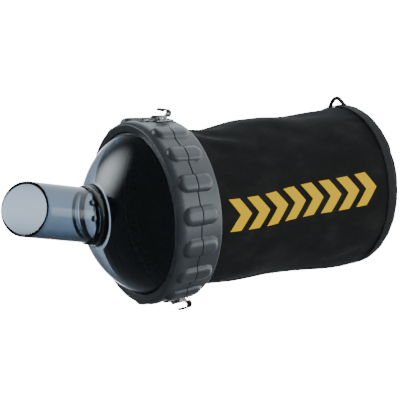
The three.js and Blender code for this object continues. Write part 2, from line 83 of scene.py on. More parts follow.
def spot(x, radius, turn):
    """The point at a place along the collar's axis, a radius and a turn."""
    return Vector((
        FRONT + x * MM,
        AXIS_Y - radius * MM * math.sin(turn),
        AXIS_Z + radius * MM * math.cos(turn),
    ))


def at_bag(x, y, z):
    """A place in metres from its millimetres off the collar's front edge and axis."""
    return Vector((FRONT + x * MM, AXIS_Y + y * MM, AXIS_Z + z * MM))


def points_of(node):
    """A node's points as x, across and up, in millimetres from the collar's front edge and axis."""
    co = np.array([v.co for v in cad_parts[node].data.vertices], float)
    return (co - (FRONT, AXIS_Y, AXIS_Z)) / MM


def ring_sizes(node):
    """Start, end, inner and outer radius of a turned node."""
    p = points_of(node)
    r = np.hypot(p[:, 1], p[:, 2])
    return p[:, 0].min(), p[:, 0].max(), r.min(), r.max()


COLLAR_END = ring_sizes("rear_collar")[1]
SEAM = 21.0
SEAM_HALF = 0.25
FRONT_RADIUS = 81.0
REAR_RADIUS = 77.9
LIP_INNER = 70.0
COLLAR_INNER = ring_sizes("dome_gasket")[3] + 0.3
SPIGOT_INNER = ring_sizes("collar_seal")[2]
NECK = ring_sizes("bag_neck_hem")[2] - 0.3
PIPING_X = (ring_sizes("bag_end_piping")[0] + ring_sizes("bag_end_piping")[1]) / 2
PIPING_RADIUS = (ring_sizes("bag_end_piping")[2] + ring_sizes("bag_end_piping")[3]) / 2
CLOTH_START = ring_sizes("bag_cloth")[0]
CLOTH_END = ring_sizes("bag_cloth")[1]
LATCHES = {"top": math.radians(10), "bottom": math.radians(170)}


# ---- Sizes and colours a user would change ----
class BagSizes(bpy.types.PropertyGroup):
    """Sizes and colours of the dust bag."""

    bump_height: FloatProperty(
        name="Bump height", description="How far a grip bump stands out of the collar",
        default=0.0036, min=0.001, max=0.005, subtype="DISTANCE", unit="LENGTH",
    )
    bump_width: FloatProperty(
        name="Bump width", description="Width of a grip bump round the collar",
        default=0.0155, min=0.008, max=0.02, subtype="DISTANCE", unit="LENGTH",
    )
    bump_edge: FloatProperty(
        name="Bump rounding", description="Width of a grip bump's rounded edge",
        default=0.0056, min=0.001, max=0.0078, subtype="DISTANCE", unit="LENGTH",
    )
    collar_steps: IntProperty(
        name="Collar steps", description="Points round the collar", default=720, min=180, max=1080,
    )
    cloth_steps: IntProperty(
        name="Cloth steps", description="Points round the bag", default=300, min=96, max=360,
    )
    fold_depth: FloatProperty(
        name="Fold depth", description="How deep the cloth's folds are, against their usual depth",
        default=1.0, min=0.0, max=2.0, subtype="FACTOR",
    )
    print_height: FloatProperty(
        name="Print height", description="Height of the printed row of arrows",
        default=0.029, min=0.01, max=0.04, subtype="DISTANCE", unit="LENGTH",
    )
    print_colour: FloatVectorProperty(
        name="Print colour", description="Colour of the printed row of arrows",
        default=(0.46, 0.285, 0.0), size=3, min=0, max=1, subtype="COLOR",
    )
    smoke_colour: FloatVectorProperty(
        name="Smoke colour", description="Tint of the clear cover's plastic",
        default=(0.04, 0.16, 0.3), size=3, min=0, max=1, subtype="COLOR",
    )
    collar_colour: FloatVectorProperty(
        name="Collar colour", description="Colour of the moulded collar",
        default=(0.019, 0.0225, 0.026), size=3, min=0, max=1, subtype="COLOR",
    )
    cloth_colour: FloatVectorProperty(
        name="Cloth colour", description="Colour of the bag's cloth",
        default=(0.0058, 0.0060, 0.0059), size=3, min=0, max=1, subtype="COLOR",
    )


def sizes():
    return bpy.context.scene.bag_sizes


# ---- Mesh helpers ----
def sleeve(rows, steps, place, loop=False, chart=None):
    """A spun tube of rows by steps points, each moved to place(row, step). With loop, the last row joins
    the first. chart(row, step) gives each point's place on the cloth, in metres."""
    bm = bmesh.new()
    line = [bm.verts.new((row, 0, 1)) for row in range(rows)]
    edges = [bm.edges.new(pair) for pair in zip(line, line[1:])]
    if loop:
        edges.append(bm.edges.new((line[-1], line[0])))
    bmesh.ops.spin(
        bm, geom=line + edges, cent=(0, 0, 0), axis=(1, 0, 0), angle=TAU, steps=steps, use_merge=True,
    )
    where = {}
    for v in bm.verts:
        step = round((math.atan2(-v.co.y, v.co.z) % TAU) / TAU * steps) % steps
        where[v] = (round(v.co.x), step)
    if chart:
        layer = bm.loops.layers.uv.new("cloth")
        for face in bm.faces:
            spans = [where[loop_.vert][1] for loop_ in face.loops]
            wraps = max(spans) - min(spans) > steps / 2
            for loop_, step in zip(face.loops, spans):
                turned_on = step + steps if wraps and step < steps / 2 else step
                loop_[layer].uv = chart(where[loop_.vert][0], turned_on)
    for v, (row, step) in where.items():
        v.co = place(row, step)
    bmesh.ops.remove_doubles(bm, verts=bm.verts, dist=2e-6)
    bmesh.ops.recalc_face_normals(bm, faces=bm.faces)
    return bm


def turned(profile, steps):
    """A closed profile of (x, radius) turned about the collar's axis."""
    return sleeve(
        len(profile), steps,
        lambda row, step: spot(*profile[row], TAU * step / steps), True,
    )


def bow(x, radius, size, start, stop, count):
    """Points of a circle's arc in an (x, radius) profile, by angles in degrees from +X."""
    angles = np.radians(np.linspace(start, stop, count + 1))
    return [(x + size * math.cos(a), radius + size * math.sin(a)) for a in angles]


def rounded_ring(x0, x1, inner, outer, edge):
    """Profile of a ring with rounded edges."""
    return (
        bow(x0 + edge, inner + edge, edge, 180, 270, 4)
        + bow(x1 - edge, inner + edge, edge, 270, 360, 4)
        + bow(x1 - edge, outer - edge, edge, 0, 90, 4)
        + bow(x0 + edge, outer - edge, edge, 90, 180, 4)
    )


def wire(points, radius, sides=12):
    """A round wire along a smooth line of points, closed at both ends."""
    line = [Vector(p) for p in points]
    lean = None
    frames = []
    for i, p in enumerate(line):
        ahead = (line[min(i + 1, len(line) - 1)] - line[max(i - 1, 0)]).normalized()
        if lean is None:
            lean = ahead.orthogonal().normalized()
        else:
            lean = (lean - ahead * lean.dot(ahead)).normalized()
        frames.append((p, lean, ahead.cross(lean)))
    run = np.concatenate([[0], np.cumsum([(b - a).length for a, b in zip(line, line[1:])])])

    def place(row, step):
        if row in (0, len(line) + 1):
            return frames[0 if row == 0 else -1][0]
        centre, one, two = frames[row - 1]
        angle = TAU * step / sides
        return centre + radius * (math.cos(angle) * one + math.sin(angle) * two)

    def chart(row, step):
        return (run[min(max(row - 1, 0), len(run) - 1)], TAU * radius * step / sides)

    return sleeve(len(line) + 2, sides, place, chart=chart)


def joined(parts):
    """Several bmeshes as one."""
    whole = bmesh.new()
    whole.loops.layers.uv.new("cloth")
    for part in parts:
        mesh = bpy.data.meshes.new("part")
        part.to_mesh(mesh)
        part.free()
        whole.from_mesh(mesh)
        bpy.data.meshes.remove(mesh)
    return whole


def fit(bm, name, body, finish, stands_for=(), crease=35):
    """Makes a bmesh a piece that rides on a body and stands for its CAD nodes."""
    mesh = bpy.data.meshes.new(name)
    bm.to_mesh(mesh)
    bm.free()
    mesh.materials.append(finish)
    mesh.polygons.foreach_set("use_smooth", [True] * len(mesh.polygons))
    mesh.set_sharp_from_angle(angle=math.radians(crease))
    obj = bpy.data.objects.new(name, mesh)
    bpy.context.scene.collection.objects.link(obj)
    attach(obj, body)
    if stands_for:
        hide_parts(*stands_for)
    return obj


def smooth_step(value, low, high):
    t = np.clip((value - low) / (high - low), 0, 1)
    return t * t * (3 - 2 * t)


# ---- Shader helpers ----
class Term:
    """A shader value that Python's operators work on."""

    def __init__(self, finish, socket):
        self.finish = finish
        self.socket = socket

    def maths(self, operation, *values):
        return self.finish.node("ShaderNodeMath", {"operation": operation}, dict(enumerate(values)))

    def __add__(self, other):
        return self.maths("ADD", self, other)

    def __sub__(self, other):
        return self.maths("SUBTRACT", self, other)

    def __rsub__(self, other):
        return self.maths("SUBTRACT", other, self)

    def __mul__(self, other):
        return self.maths("MULTIPLY", self, other)

    def __truediv__(self, other):
        return self.maths("DIVIDE", self, other)

    def __mod__(self, other):
        return self.maths("FLOORED_MODULO", self, other)

    def __abs__(self):
        return self.maths("ABSOLUTE", self)

    def __lt__(self, other):
        return self.maths("LESS_THAN", self, other)

    def __gt__(self, other):
        return self.maths("GREATER_THAN", self, other)

    __radd__, __rmul__ = __add__, __mul__

    def wave(self):
        return self.maths("SINE", self)

    def blur(self, low, high):
        """0 below low and 1 above high, smoothly between."""
        return self.finish.node(
            "ShaderNodeMapRange", {"interpolation_type": "SMOOTHSTEP", "clamp": True},
            {"Value": self, "From Min": low, "From Max": high},
        )


class Finish:
    """One material and its nodes."""

    def __init__(self, name):
        self.material = bpy.data.materials.new(name)
        self.material.use_nodes = True
        self.tree = self.material.node_tree
        self.tree.nodes.clear()

    def node(self, kind, settings=None, inputs=None, output=0):
        made = self.tree.nodes.new(kind)
        for key, value in (settings or {}).items():
            if key == "stops":
                ramp = made.color_ramp
                while len(ramp.elements) < len(value):
                    ramp.elements.new(0.5)
                for element, (place, colour) in zip(ramp.elements, value):
                    element.position, element.color = place, (*colour, 1)
            else:
                setattr(made, key, value)
        for key, value in (inputs or {}).items():
            socket = made.inputs[key]
            if isinstance(value, Term):
                self.tree.links.new(value.socket, socket)
            elif hasattr(value, "__len__") and len(value) == 3 and socket.type == "RGBA":
                socket.default_value = (*value, 1)
            else:
                socket.default_value = value
        return Term(self, made.outputs[output])

    def place(self, size=(1, 1, 1)):
        here = self.node("ShaderNodeTexCoord", output="Object")
        return self.node("ShaderNodeMapping", None, {"Vector": here, "Scale": size})

    def chart(self, size=(1, 1, 1)):
        here = self.node("ShaderNodeUVMap", {"uv_map": "cloth"})
        return self.node("ShaderNodeMapping", None, {"Vector": here, "Scale": size})

    def noise(self, where, scale, detail=3.0, rough=0.5):
        return self.node(
            "ShaderNodeTexNoise", None,
            {"Vector": where, "Scale": scale, "Detail": detail, "Roughness": rough},
        )

    def blend(self, factor, low, high):
        """A colour between two."""
        return self.node(
            "ShaderNodeMix", {"data_type": "RGBA"}, {0: factor, 6: low, 7: high}, output=2,
        )

    def split(self, where):
        """The three parts of a place."""
        first = self.node("ShaderNodeSeparateXYZ", None, {0: where})
        return [Term(self, socket) for socket in first.socket.node.outputs]

    def bump(self, height, depth, strength=1.0):
        return self.node(
            "ShaderNodeBump", None, {"Height": height, "Distance": depth, "Strength": strength},
        )

    def output(self, surface, volume=None):
        out = self.tree.nodes.new("ShaderNodeOutputMaterial")
        self.tree.links.new(surface.socket, out.inputs["Surface"])
        if volume:
            self.tree.links.new(volume.socket, out.inputs["Volume"])
        return self.material

    def done(self, volume=None, **inputs):
        """The material, from the surface shader's inputs."""
        named = {key.replace("_", " "): value for key, value in inputs.items()}
        return self.output(self.node("ShaderNodeBsdfPrincipled", None, named), volume)

    def glow(self, colour, strength):
        """The material, giving out light."""
        return self.output(self.node("ShaderNodeEmission", None, {"Color": colour, "Strength": strength}))


# ---- Finishes ----
SMOKE_DENSITY = 240.0
TUBE_DENSITY = 456.0


def smoked_plastic(name="smoked_clear", density=SMOKE_DENSITY):
    """Clear plastic with a cool smoke tint, fine scuffs and a slight moulded waviness."""
    f = Finish(name)
    where = f.place()
    scuffs = f.noise(f.place((900, 300, 300)), 1.0, 4).blur(0.55, 0.8)
    ripple = f.noise(where, 28.0, 1)
    tint = tuple(sizes().smoke_colour)
    smoke = f.node("ShaderNodeVolumeAbsorption", None, {"Color": tint, "Density": density})
    return f.done(
        volume=smoke,
        Base_Color=f.blend(f.noise(where, 14.0, 2), (0.83, 0.87, 0.89), (0.86, 0.9, 0.92)),
        Roughness=0.025 + 0.05 * scuffs,
        Normal=f.bump(ripple, 0.0006, 0.12),
        Transmission_Weight=1.0,
        IOR=1.49,
    )


def moulded_plastic():
    """Dark blue-grey plastic with a fine spark-eroded grain."""
    f = Finish("moulded_plastic")
    where = f.place()
    grain = f.noise(where, 2600.0, 2, 0.6)
    patch = f.noise(where, 60.0, 3)
    speck = f.noise(where, 950.0, 2, 0.7)
    dark = tuple(c * 0.7 for c in sizes().collar_colour)
    light = tuple(c * 1.3 for c in sizes().collar_colour)
    return f.done(
        Base_Color=f.blend(0.4 * patch.blur(0.3, 0.7) + 0.6 * speck.blur(0.35, 0.65), dark, light),
        Roughness=0.26 + 0.1 * grain + 0.14 * speck,
        Normal=f.bump(grain * 0.5 + speck, 0.00009, 0.75),
        Specular_IOR_Level=0.5,
        IOR=1.5,
    )


def inner_plastic():
    """Plain black plastic of the rings inside the collar."""
    f = Finish("inner_plastic")
    grain = f.noise(f.place(), 1400.0, 2)
    return f.done(
        Base_Color=f.blend(grain, (0.008, 0.009, 0.01), (0.014, 0.015, 0.017)),
        Roughness=0.5 + 0.14 * grain,
        Normal=f.bump(grain, 0.00005, 0.4),
    )


def soft_rubber():
    """Matt black rubber with a dusty bloom."""
    f = Finish("soft_rubber")
    where = f.place()
    grain = f.noise(where, 1800.0, 3)
    bloom = f.noise(where, 220.0, 3).blur(0.45, 0.8)
    return f.done(
        Base_Color=f.blend(bloom, (0.011, 0.011, 0.012), (0.024, 0.024, 0.025)),
        Roughness=0.72 + 0.18 * grain,
        Normal=f.bump(grain, 0.00008, 0.5),
    )


def plated_steel():
    """Zinc-plated sheet steel: satin, drawn along the latch, with a faint warm and cool tint."""
    f = Finish("plated_steel")
    drawn = f.noise(f.place((300, 5200, 5200)), 1.0, 2)
    tint = f.noise(f.place(), 260.0, 2)
    scratch = f.noise(f.place((1500, 9000, 9000)), 1.0, 5, 0.7).blur(0.6, 0.75)
    return f.done(
        Base_Color=f.blend(tint.blur(0.3, 0.7), (0.13, 0.124, 0.115), (0.19, 0.186, 0.18)),
        Metallic=1.0,
        Roughness=0.3 + 0.16 * drawn - 0.06 * scratch,
        Normal=f.bump(drawn - 0.4 * scratch, 0.00004, 0.5),
    )


PRINT_START, PRINT_END = 0.0666, 0.211  # along the bag from the collar's front edge
PRINT_FALL = -0.055  # the row climbs towards the bag's end
PRINT_PITCH, PRINT_STROKE = 0.0188, 0.0112
PRINT_MIDDLE = 0.0078  # how far below the bag's near side the row's left end is
PRINT_POINT = 0.75  # how far an arrow's tip leads, against its half height
CLOTH_RADIUS = 0.072
CLOTH_THICK = 0.0009
WEAVE_PITCH = 0.00062
BRAID_PITCH = 0.0016


def weave_of(f, pitch):
    """A place on the cloth, along and across, and the height there of a plain weave of that pitch."""
    along, across, _ = f.split(f.chart())
    turn = TAU / (2 * pitch)
    warp = (along * turn).wave()
    weft = (across * turn).wave()
    return along, across, abs(warp) * 0.5 + abs(weft) * 0.5 + 0.25 * warp * weft


def bag_fabric(printed=True):
    """Black canvas with a plain weave, faint lint and, on the tube, a printed row of arrows."""
    f = Finish("printed_canvas" if printed else "plain_canvas")
    along, across, weave = weave_of(f, WEAVE_PITCH)
    worn = f.noise(f.chart((1, 1.3, 1)), 34.0, 4, 0.6).blur(0.42, 0.78)
    fibre = f.noise(f.chart((220, 900, 1)), 1.0, 3)
    lint = f.noise(f.chart(), 1500.0, 2, 0.8).blur(0.7, 0.78)
    base = tuple(sizes().cloth_colour)
    cloth = f.blend(worn, base, tuple(c * 1.75 + 0.0006 for c in base))
    cloth = f.blend(lint * 0.35, cloth, (0.07, 0.07, 0.068))
    rough = 0.78 + 0.12 * fibre
    height = weave + 0.35 * fibre
    if printed:
        middle = TAU / 4 * CLOTH_RADIUS + PRINT_MIDDLE
        half = sizes().print_height / 2
        lift = across - middle - PRINT_FALL * (along - PRINT_START)
        tip = along + abs(lift) * PRINT_POINT
        row = (abs(lift) < half) * (tip > PRINT_START) * (tip < PRINT_END)
        stroke = ((tip - PRINT_START) % PRINT_PITCH) < PRINT_STROKE
        worn_ink = f.noise(f.chart(), 900.0, 3, 0.7).blur(0.3, 0.42)
        ink = row * stroke * (0.86 + 0.14 * worn_ink)
        cloth = f.blend(ink, cloth, tuple(sizes().print_colour))
        rough = rough - 0.2 * ink
        height = height + 0.4 * ink
    return f.done(
        Base_Color=cloth,
        Roughness=rough,
        Normal=f.bump(height, 0.00016, 0.55),
        Sheen_Weight=0.03,
        Sheen_Roughness=0.45,
        Sheen_Tint=(0.72, 0.78, 0.9, 1),
        Specular_IOR_Level=0.08,
    )


def braided_trim():
    """Black braided cord and binding tape: slanting strands in both directions."""
    f = Finish("braided_trim")
    along, across, _ = f.split(f.chart())
    one = ((along + across) * (TAU / BRAID_PITCH)).wave()
    two = ((along - across) * (TAU / BRAID_PITCH)).wave()
    strands = abs(one) * 0.5 + abs(two) * 0.5
    fuzz = f.noise(f.place(), 2400.0, 3)
    return f.done(
        Base_Color=f.blend(strands, (0.0024, 0.0025, 0.0027), (0.0075, 0.0078, 0.0082)),
        Roughness=0.62 + 0.2 * fuzz,
        Normal=f.bump(strands + 0.3 * fuzz, 0.00022, 0.7),
        Sheen_Weight=0.05,
        Sheen_Roughness=0.4,
        Specular_IOR_Level=0.25,
    )


def sewing_thread():
    """Twisted black thread, a little lighter than the cloth."""
    f = Finish("sewing_thread")
    fuzz = f.noise(f.place(), 5200.0, 2)
    return f.done(
        Base_Color=f.blend(fuzz, (0.008, 0.0085, 0.009), (0.024, 0.025, 0.026)),
        Roughness=0.6 + 0.2 * fuzz,
        Normal=f.bump(fuzz, 0.0001, 0.6),
    )


def finish_of(name):
    """The named finish, made once."""
    makers = {
        "smoked_clear": smoked_plastic,
        "smoked_tube": lambda: smoked_plastic("smoked_tube", TUBE_DENSITY),
        "moulded_plastic": moulded_plastic,
        "inner_plastic": inner_plastic, "soft_rubber": soft_rubber, "plated_steel": plated_steel,
        "printed_canvas": bag_fabric, "plain_canvas": lambda: bag_fabric(False),
        "braided_trim": braided_trim, "sewing_thread": sewing_thread,
    }
    return bpy.data.materials.get(name) or makers[name]()


# ---- The clear cover ----
DOME_WALL = 2.2
SPOUT_TILT = math.radians(12.3)
SPOUT_MITRE = math.radians(25.6)
SPOUT_OUTER = 23.5
SPOUT_WALL = 2.4
SPOUT_LUGS = (-8, 24)  # degrees round the tube from -Y
LUG_SIZE = (0.0042, 0.0031, 0.005)
SPOUT_STEPS = 160
DOME_STEPS = 192
SPOUT_FILLET = 3.4
NECK_LENGTH = 6.0
NECK_WALL = 1.3


def dome_size():
    """Radius and centre, along the axis, of the dome's sphere."""
    p = points_of("dome_cover")
    top, opening = p[:, 0].min(), LIP_INNER - 0.3
    rise = -LIP_AHEAD - top
    radius = (opening ** 2 + rise ** 2) / (2 * rise)
    return radius, radius - rise - LIP_AHEAD


def spout_frame():
    """The spout's mouth, its outward axis and two directions across it, in millimetres."""
    out = Vector((-math.cos(SPOUT_TILT), 0, math.sin(SPOUT_TILT)))
    side = Vector((0, -1, 0))
    mouth = -Vector((FRONT, AXIS_Y, AXIS_Z)) / MM
    return mouth, out, side, out.cross(side)


def round_spout(angle):
    """The direction across the spout at an angle from -Y."""
    side, down = spout_frame()[2:]
    return math.cos(angle) * side + math.sin(angle) * down


def spout_rim(radius, angle):
    """How far along its axis, inwards from the mouth's middle, the mitred rim is at an angle from -Y."""
    return radius * math.cos(angle) * math.tan(SPOUT_MITRE)


def spout_point(inwards, radius, angle):
    mouth, out = spout_frame()[:2]
    p = mouth - out * inwards + radius * round_spout(angle)
    return at_bag(*p)


def reach_to(below, sphere, centre):
    """How far inwards from the mouth a line along the spout meets a sphere about the dome's centre."""
    mouth, out = spout_frame()[:2]
    start = mouth + below - Vector((centre, 0, 0))
    b = -start.dot(out)
    c = start.dot(start) - sphere ** 2
    return -b - math.sqrt(b * b - c)


class BAG_OT_spout(bpy.types.Operator):
    """Mitred spout tube with a rounded rim and its two small lugs"""

    bl_idname = "bag.spout"
    bl_label = "Inlet spout"

    def execute(self, context):
        sphere, centre = dome_size()
        inner = SPOUT_OUTER - SPOUT_WALL
        edge = SPOUT_WALL / 2
        root = -DOME_WALL - SPOUT_FILLET - 1.5
        runs = np.linspace(0.04, 0.96, 18)
        rows = [("rim", SPOUT_OUTER - edge + edge * math.sin(a), edge - edge * math.cos(a))
                for a in np.radians(np.linspace(0, 90, 5))]
        rows += [("out", SPOUT_OUTER, t) for t in runs]
        rows += [("end", SPOUT_OUTER - 0.5, 0.25), ("end", SPOUT_OUTER - 1.2, 0), ("end", inner + 0.5, 0)]
        rows += [("out", inner, t) for t in runs[::-1]]
        rows += [("rim", SPOUT_OUTER - edge - edge * math.sin(a), edge - edge * math.cos(a))
                 for a in np.radians(np.linspace(90, 15, 5))]

        def place(row, step):
            kind, radius, t = rows[row]
            angle = TAU * step / SPOUT_STEPS
            start = spout_rim(radius, angle)
            rim = SPOUT_OUTER * round_spout(angle)
            stop = reach_to(rim, sphere - DOME_WALL, centre) + root
            if kind == "rim":
                return spout_point(start + t, radius, angle)
            if kind == "end":
                return spout_point(stop - t, radius, angle)
            wall_start = start + edge
            wall_length = stop - 0.5 - wall_start
            return spout_point(wall_start + wall_length * (t - 0.04) / 0.92, radius, angle)

        parts = [sleeve(len(rows), SPOUT_STEPS, place, loop=True)]
        for degrees in SPOUT_LUGS:
            parts.append(self.lug(math.radians(degrees), sphere, centre))
        fit(joined(parts), "clear_spout", "dust_bag",
            finish_of("smoked_tube"), ["inlet_spout"], 50)
        return {"FINISHED"}

    def lug(self, angle, sphere, centre):
        """A snap lug: a small block with rounded edges that sits half sunk in the tube's wall."""
        out = spout_frame()[1]
        middle = SPOUT_OUTER * round_spout(angle)
        neck_top = reach_to(middle, sphere, centre) - SPOUT_FILLET - NECK_LENGTH
        along = neck_top - 2.8
        bm = bmesh.new()
        bmesh.ops.create_cube(bm, size=1)
        bmesh.ops.scale(bm, vec=LUG_SIZE, verts=bm.verts)
        bmesh.ops.bevel(
            bm, geom=bm.edges[:], offset=0.0011, segments=3, profile=0.5, material=-1, affect="EDGES",
        )
        outward = round_spout(angle).normalized()
        turn = Matrix((-out, outward, (-out).cross(outward))).transposed().to_4x4()
        bmesh.ops.transform(
            bm, matrix=Matrix.Translation(spout_point(along, SPOUT_OUTER + 0.75, angle)) @ turn,
            verts=bm.verts,
        )
        return bm


class BAG_OT_dome(bpy.types.Operator):
    """Clear dome with a neck round the spout's root and a flange behind the collar's lip"""

    bl_idname = "bag.dome"
    bl_label = "Dome cover"

    def execute(self, context):
        sphere, centre = dome_size()
        mouth, out = spout_frame()[:2]
        middle = Vector((centre, 0, 0))
        hole = SPOUT_OUTER + 0.3
        flange_x, flange_end = ring_sizes("dome_gasket")[0] - 2.8, ring_sizes("dome_gasket")[0] - 0.3
        flange_r = COLLAR_INNER - 0.3
        steps = DOME_STEPS
        bulge = SPOUT_FILLET

        def hole_dir(angle, radius, ball):
            """From the ball's middle to where a line along the spout meets it."""
            across = radius * round_spout(angle)
            return mouth + across - out * reach_to(across, ball, centre) - middle

        def spread(angle):
            """The turn about the collar's axis that goes with an angle round the spout."""
            across = round_spout(angle)
            return math.atan2(-across.y, across.z)

        def rim_dir(turn, x, ball):
            """From the ball's middle to its circle at x."""
            r = math.sqrt(ball ** 2 - (x - centre) ** 2)
            return Vector((x - centre, -r * math.sin(turn), r * math.cos(turn)))

        def patch(ball, t, angle, radius, x):
            """A point on the ball from the hole's edge, at t = 0, to the flange's circle, at t = 1."""
            start = hole_dir(angle, radius, ball)
            stop = rim_dir(spread(angle), x, ball)
            full = start.angle(stop)
            return middle + (start * math.sin((1 - t) * full) + stop * math.sin(t * full)) / math.sin(full)

        rows = []
        # the neck round the spout's root, its fillet into the dome, and the dome's outside
        top = bulge + NECK_LENGTH
        rows += [("neck", hole, bulge), ("neck", hole, top - 0.4), ("neck", hole + 0.4, top)]
        rows += [("neck", hole + NECK_WALL - 0.4, top), ("neck", hole + NECK_WALL, top - 0.4)]
        for k in range(7):
            rows.append(("fillet_out", k / 6))
        spread_rows = [(i / 44) ** 1.15 for i in range(1, 45)]
        rows += [("outside", t) for t in spread_rows]
        rows += [("flange", flange_x, flange_r - 0.5), ("flange", flange_x + 0.5, flange_r),
                 ("flange", flange_end - 0.5, flange_r), ("flange", flange_end, flange_r - 0.5)]
        rows += [("inside", t) for t in [1.0] + spread_rows[-2::-2] + [0.0]]

        def place(row, step):
            angle = TAU * step / steps
            kind, *at = rows[row]
            if kind == "fillet_out":
                # a quarter round from the neck's side onto the ball
                quarter = at[0] * TAU / 4
                radius = hole + NECK_WALL + bulge * (1 - math.cos(quarter))
                lift = bulge * (1 - math.sin(quarter))
                p = middle + hole_dir(angle, radius, sphere + lift)
            elif kind == "neck":
                p = middle + hole_dir(angle, at[0], sphere + at[1])
            elif kind == "outside":
                p = patch(sphere, at[0], angle, hole + NECK_WALL + bulge, flange_x)
            elif kind == "inside":
                p = patch(sphere - DOME_WALL, at[0], angle, hole, flange_end)
            else:
                return spot(at[0], at[1], spread(angle))
            return at_bag(*p)

        bm = sleeve(len(rows), steps, place, loop=True)
        fit(bm, "clear_dome", "dust_bag", finish_of("smoked_clear"),
            ["dome_cover"], 60)
        return {"FINISHED"}


# ---- The collar ----
LEAD_IN = 7.0  # length and depth of the collar's rounded front edge
LEAD_DEPTH = 2.4
BUMP_PITCH = 20
BUMP_FIRST = 93
BUMP_START, BUMP_LENGTH = 3.5, 35.0
LATCH_SKIP = 12
SEAT_RADIUS = 78.586
POCKET_RADIUS = 77.386
SEAT_HALF = 7.5
POCKET_START = 7.6
POCKET_END = 22.7
SEAT_END = 41.0
NO_SEAT = (900, 950)  # beyond the collar


def bump_turns():
    turns = []
    for degrees in range(BUMP_FIRST, BUMP_FIRST + 360, BUMP_PITCH):
        gaps = [abs((degrees - math.degrees(a) + 540) % 360 - 180) for a in LATCHES.values()]
        if min(gaps) >= LATCH_SKIP:
            turns.append(math.radians(degrees))
    return turns


def collar_radius(x):
    return FRONT_RADIUS - (FRONT_RADIUS - REAR_RADIUS) * x / COLLAR_END


def swing_from(turns, at):
    """Turns measured from a given one, between half a turn either way."""
    return (turns - at + math.pi) % TAU - math.pi


def grip_height(xs, turns):
    """How far the grip bumps raise the collar's surface, for a grid of places."""
    s = sizes()
    half, high, soft = s.bump_width / MM / 2, s.bump_height / MM, s.bump_edge / MM
    raised = np.zeros_like(xs)
    for at in bump_turns():
        across = swing_from(turns, at) * collar_radius(xs)
        nearest = np.clip(xs, BUMP_START + half, BUMP_START + BUMP_LENGTH - half)
        inset = np.clip((half - np.hypot(xs - nearest, across)) / soft, 0, 1)
        raised = np.maximum(raised, high * np.sqrt(1 - (1 - inset) ** 2))
    return raised


def latch_floor(xs, turns, radius, seat, pocket):
    """Lowers the collar's surface to the latches' flat seats and pockets, each given by its two ends."""
    for at in LATCHES.values():
        swing = swing_from(turns, at)
        near = np.cos(np.clip(swing, -0.3, 0.3))
        inside = 1 - smooth_step(np.abs(swing) * radius, SEAT_HALF, SEAT_HALF + 0.7)
        on_seat = inside * smooth_step(xs, seat[0] - 0.3, seat[0] + 0.3)
        on_seat *= 1 - smooth_step(xs, seat[1] - 0.5, seat[1] + 0.5)
        in_pocket = inside * smooth_step(xs, pocket[0] - 0.3, pocket[0] + 0.3)
        in_pocket *= 1 - smooth_step(xs, pocket[1] - 0.3, pocket[1] + 0.3)
        radius = radius + (SEAT_RADIUS / near - radius) * on_seat
        radius = radius + (np.minimum(POCKET_RADIUS / near, radius) - radius) * in_pocket
    return radius


def collar_half(rows, seat, pocket):
    """A half of the collar: rows are (x, radius, gripped), and gripped rows carry the bumps."""
    steps = sizes().collar_steps
    x, radius, gripped = (np.array(column, float)[:, None] for column in zip(*rows))
    turns = TAU * np.arange(steps)[None, :] / steps
    xs = np.broadcast_to(x, (len(rows), steps))
    full = radius + gripped * grip_height(xs, turns)
    full = np.where(gripped > 0, latch_floor(xs, turns, full, seat, pocket), full)

    def place(row, step):
        return spot(rows[row][0], full[row, step], turns[0, step])

    return sleeve(len(rows), steps, place, True)


class BAG_OT_collar(bpy.types.Operator):
    """The collar's two moulded halves with their grip bumps and latch seats"""

    bl_idname = "bag.collar"
    bl_label = "Collar"

    def execute(self, context):
        end = SEAM - SEAM_HALF
        plastic = finish_of("moulded_plastic")
        edge = 0.45
        front = [(x, r, 0) for x, r in bow(0.35, 71.75, 0.45, 270, 180, 3)]
        front += [(-0.2, 73.0, 0), (-0.4, 75.0, 0), (-0.55, 76.4, 0)]
        front += [(x, r, 0) for x, r in bow(0.2, 77.3, 0.8, 175, 100, 5)]
        front += [(x, collar_radius(x) - LEAD_DEPTH * (1 - min(x / LEAD_IN, 1)) ** 2, 1)
                  for x in np.arange(0.8, end - edge, 0.6)]
        front += [(end - edge, collar_radius(end), 1)]
        front += [(end - edge * 0.4, collar_radius(end) - 0.1, 1), (end, collar_radius(end) - edge, 1)]
        front += [(end, COLLAR_INNER + 1, 0), (end, COLLAR_INNER, 0), (10, COLLAR_INNER, 0)]
        front += [(1.4, COLLAR_INNER, 0), (1.2, COLLAR_INNER - 0.4, 0), (1.2, 71.8, 0)]

        shell = collar_half(front, NO_SEAT, (POCKET_START, POCKET_END + 5))
        fit(shell, "front_collar_shell", "dust_bag", plastic, ["front_collar"], 50)

        start = SEAM + SEAM_HALF
        rear = [(start, COLLAR_INNER - 0.3, 0), (start, COLLAR_INNER + 1.2, 0)]
        rear += [(start, collar_radius(start) - edge, 1), (start + edge * 0.4, collar_radius(start) - 0.1, 1)]
        rear += [(x, collar_radius(x), 1) for x in np.arange(start + edge, COLLAR_END - 1.8, 0.6)]
        rear += [(x, r, 0) for x, r in bow(COLLAR_END - 1.6, REAR_RADIUS - 1.6, 1.6, 85, 0, 6)]
        rear += [(x, r, 0) for x, r in bow(COLLAR_END - 0.6, NECK + 0.9, 0.6, 0, -90, 3)]
        rear += [(COLLAR_END - 3, NECK + 0.3, 0), (COLLAR_END - 3, SPIGOT_INNER, 0)]
        rear += [(start - 6.5, SPIGOT_INNER, 0), (start - 7, SPIGOT_INNER + 0.5, 0)]
        rear += [(start - 7, COLLAR_INNER - 0.8, 0), (start - 6.5, COLLAR_INNER - 0.3, 0)]

        shell = collar_half(rear, (start - 9, SEAT_END), (start - 9, POCKET_END))
        fit(shell, "rear_collar_shell", "dust_bag", plastic, ["rear_collar"], 50)
        return {"FINISHED"}


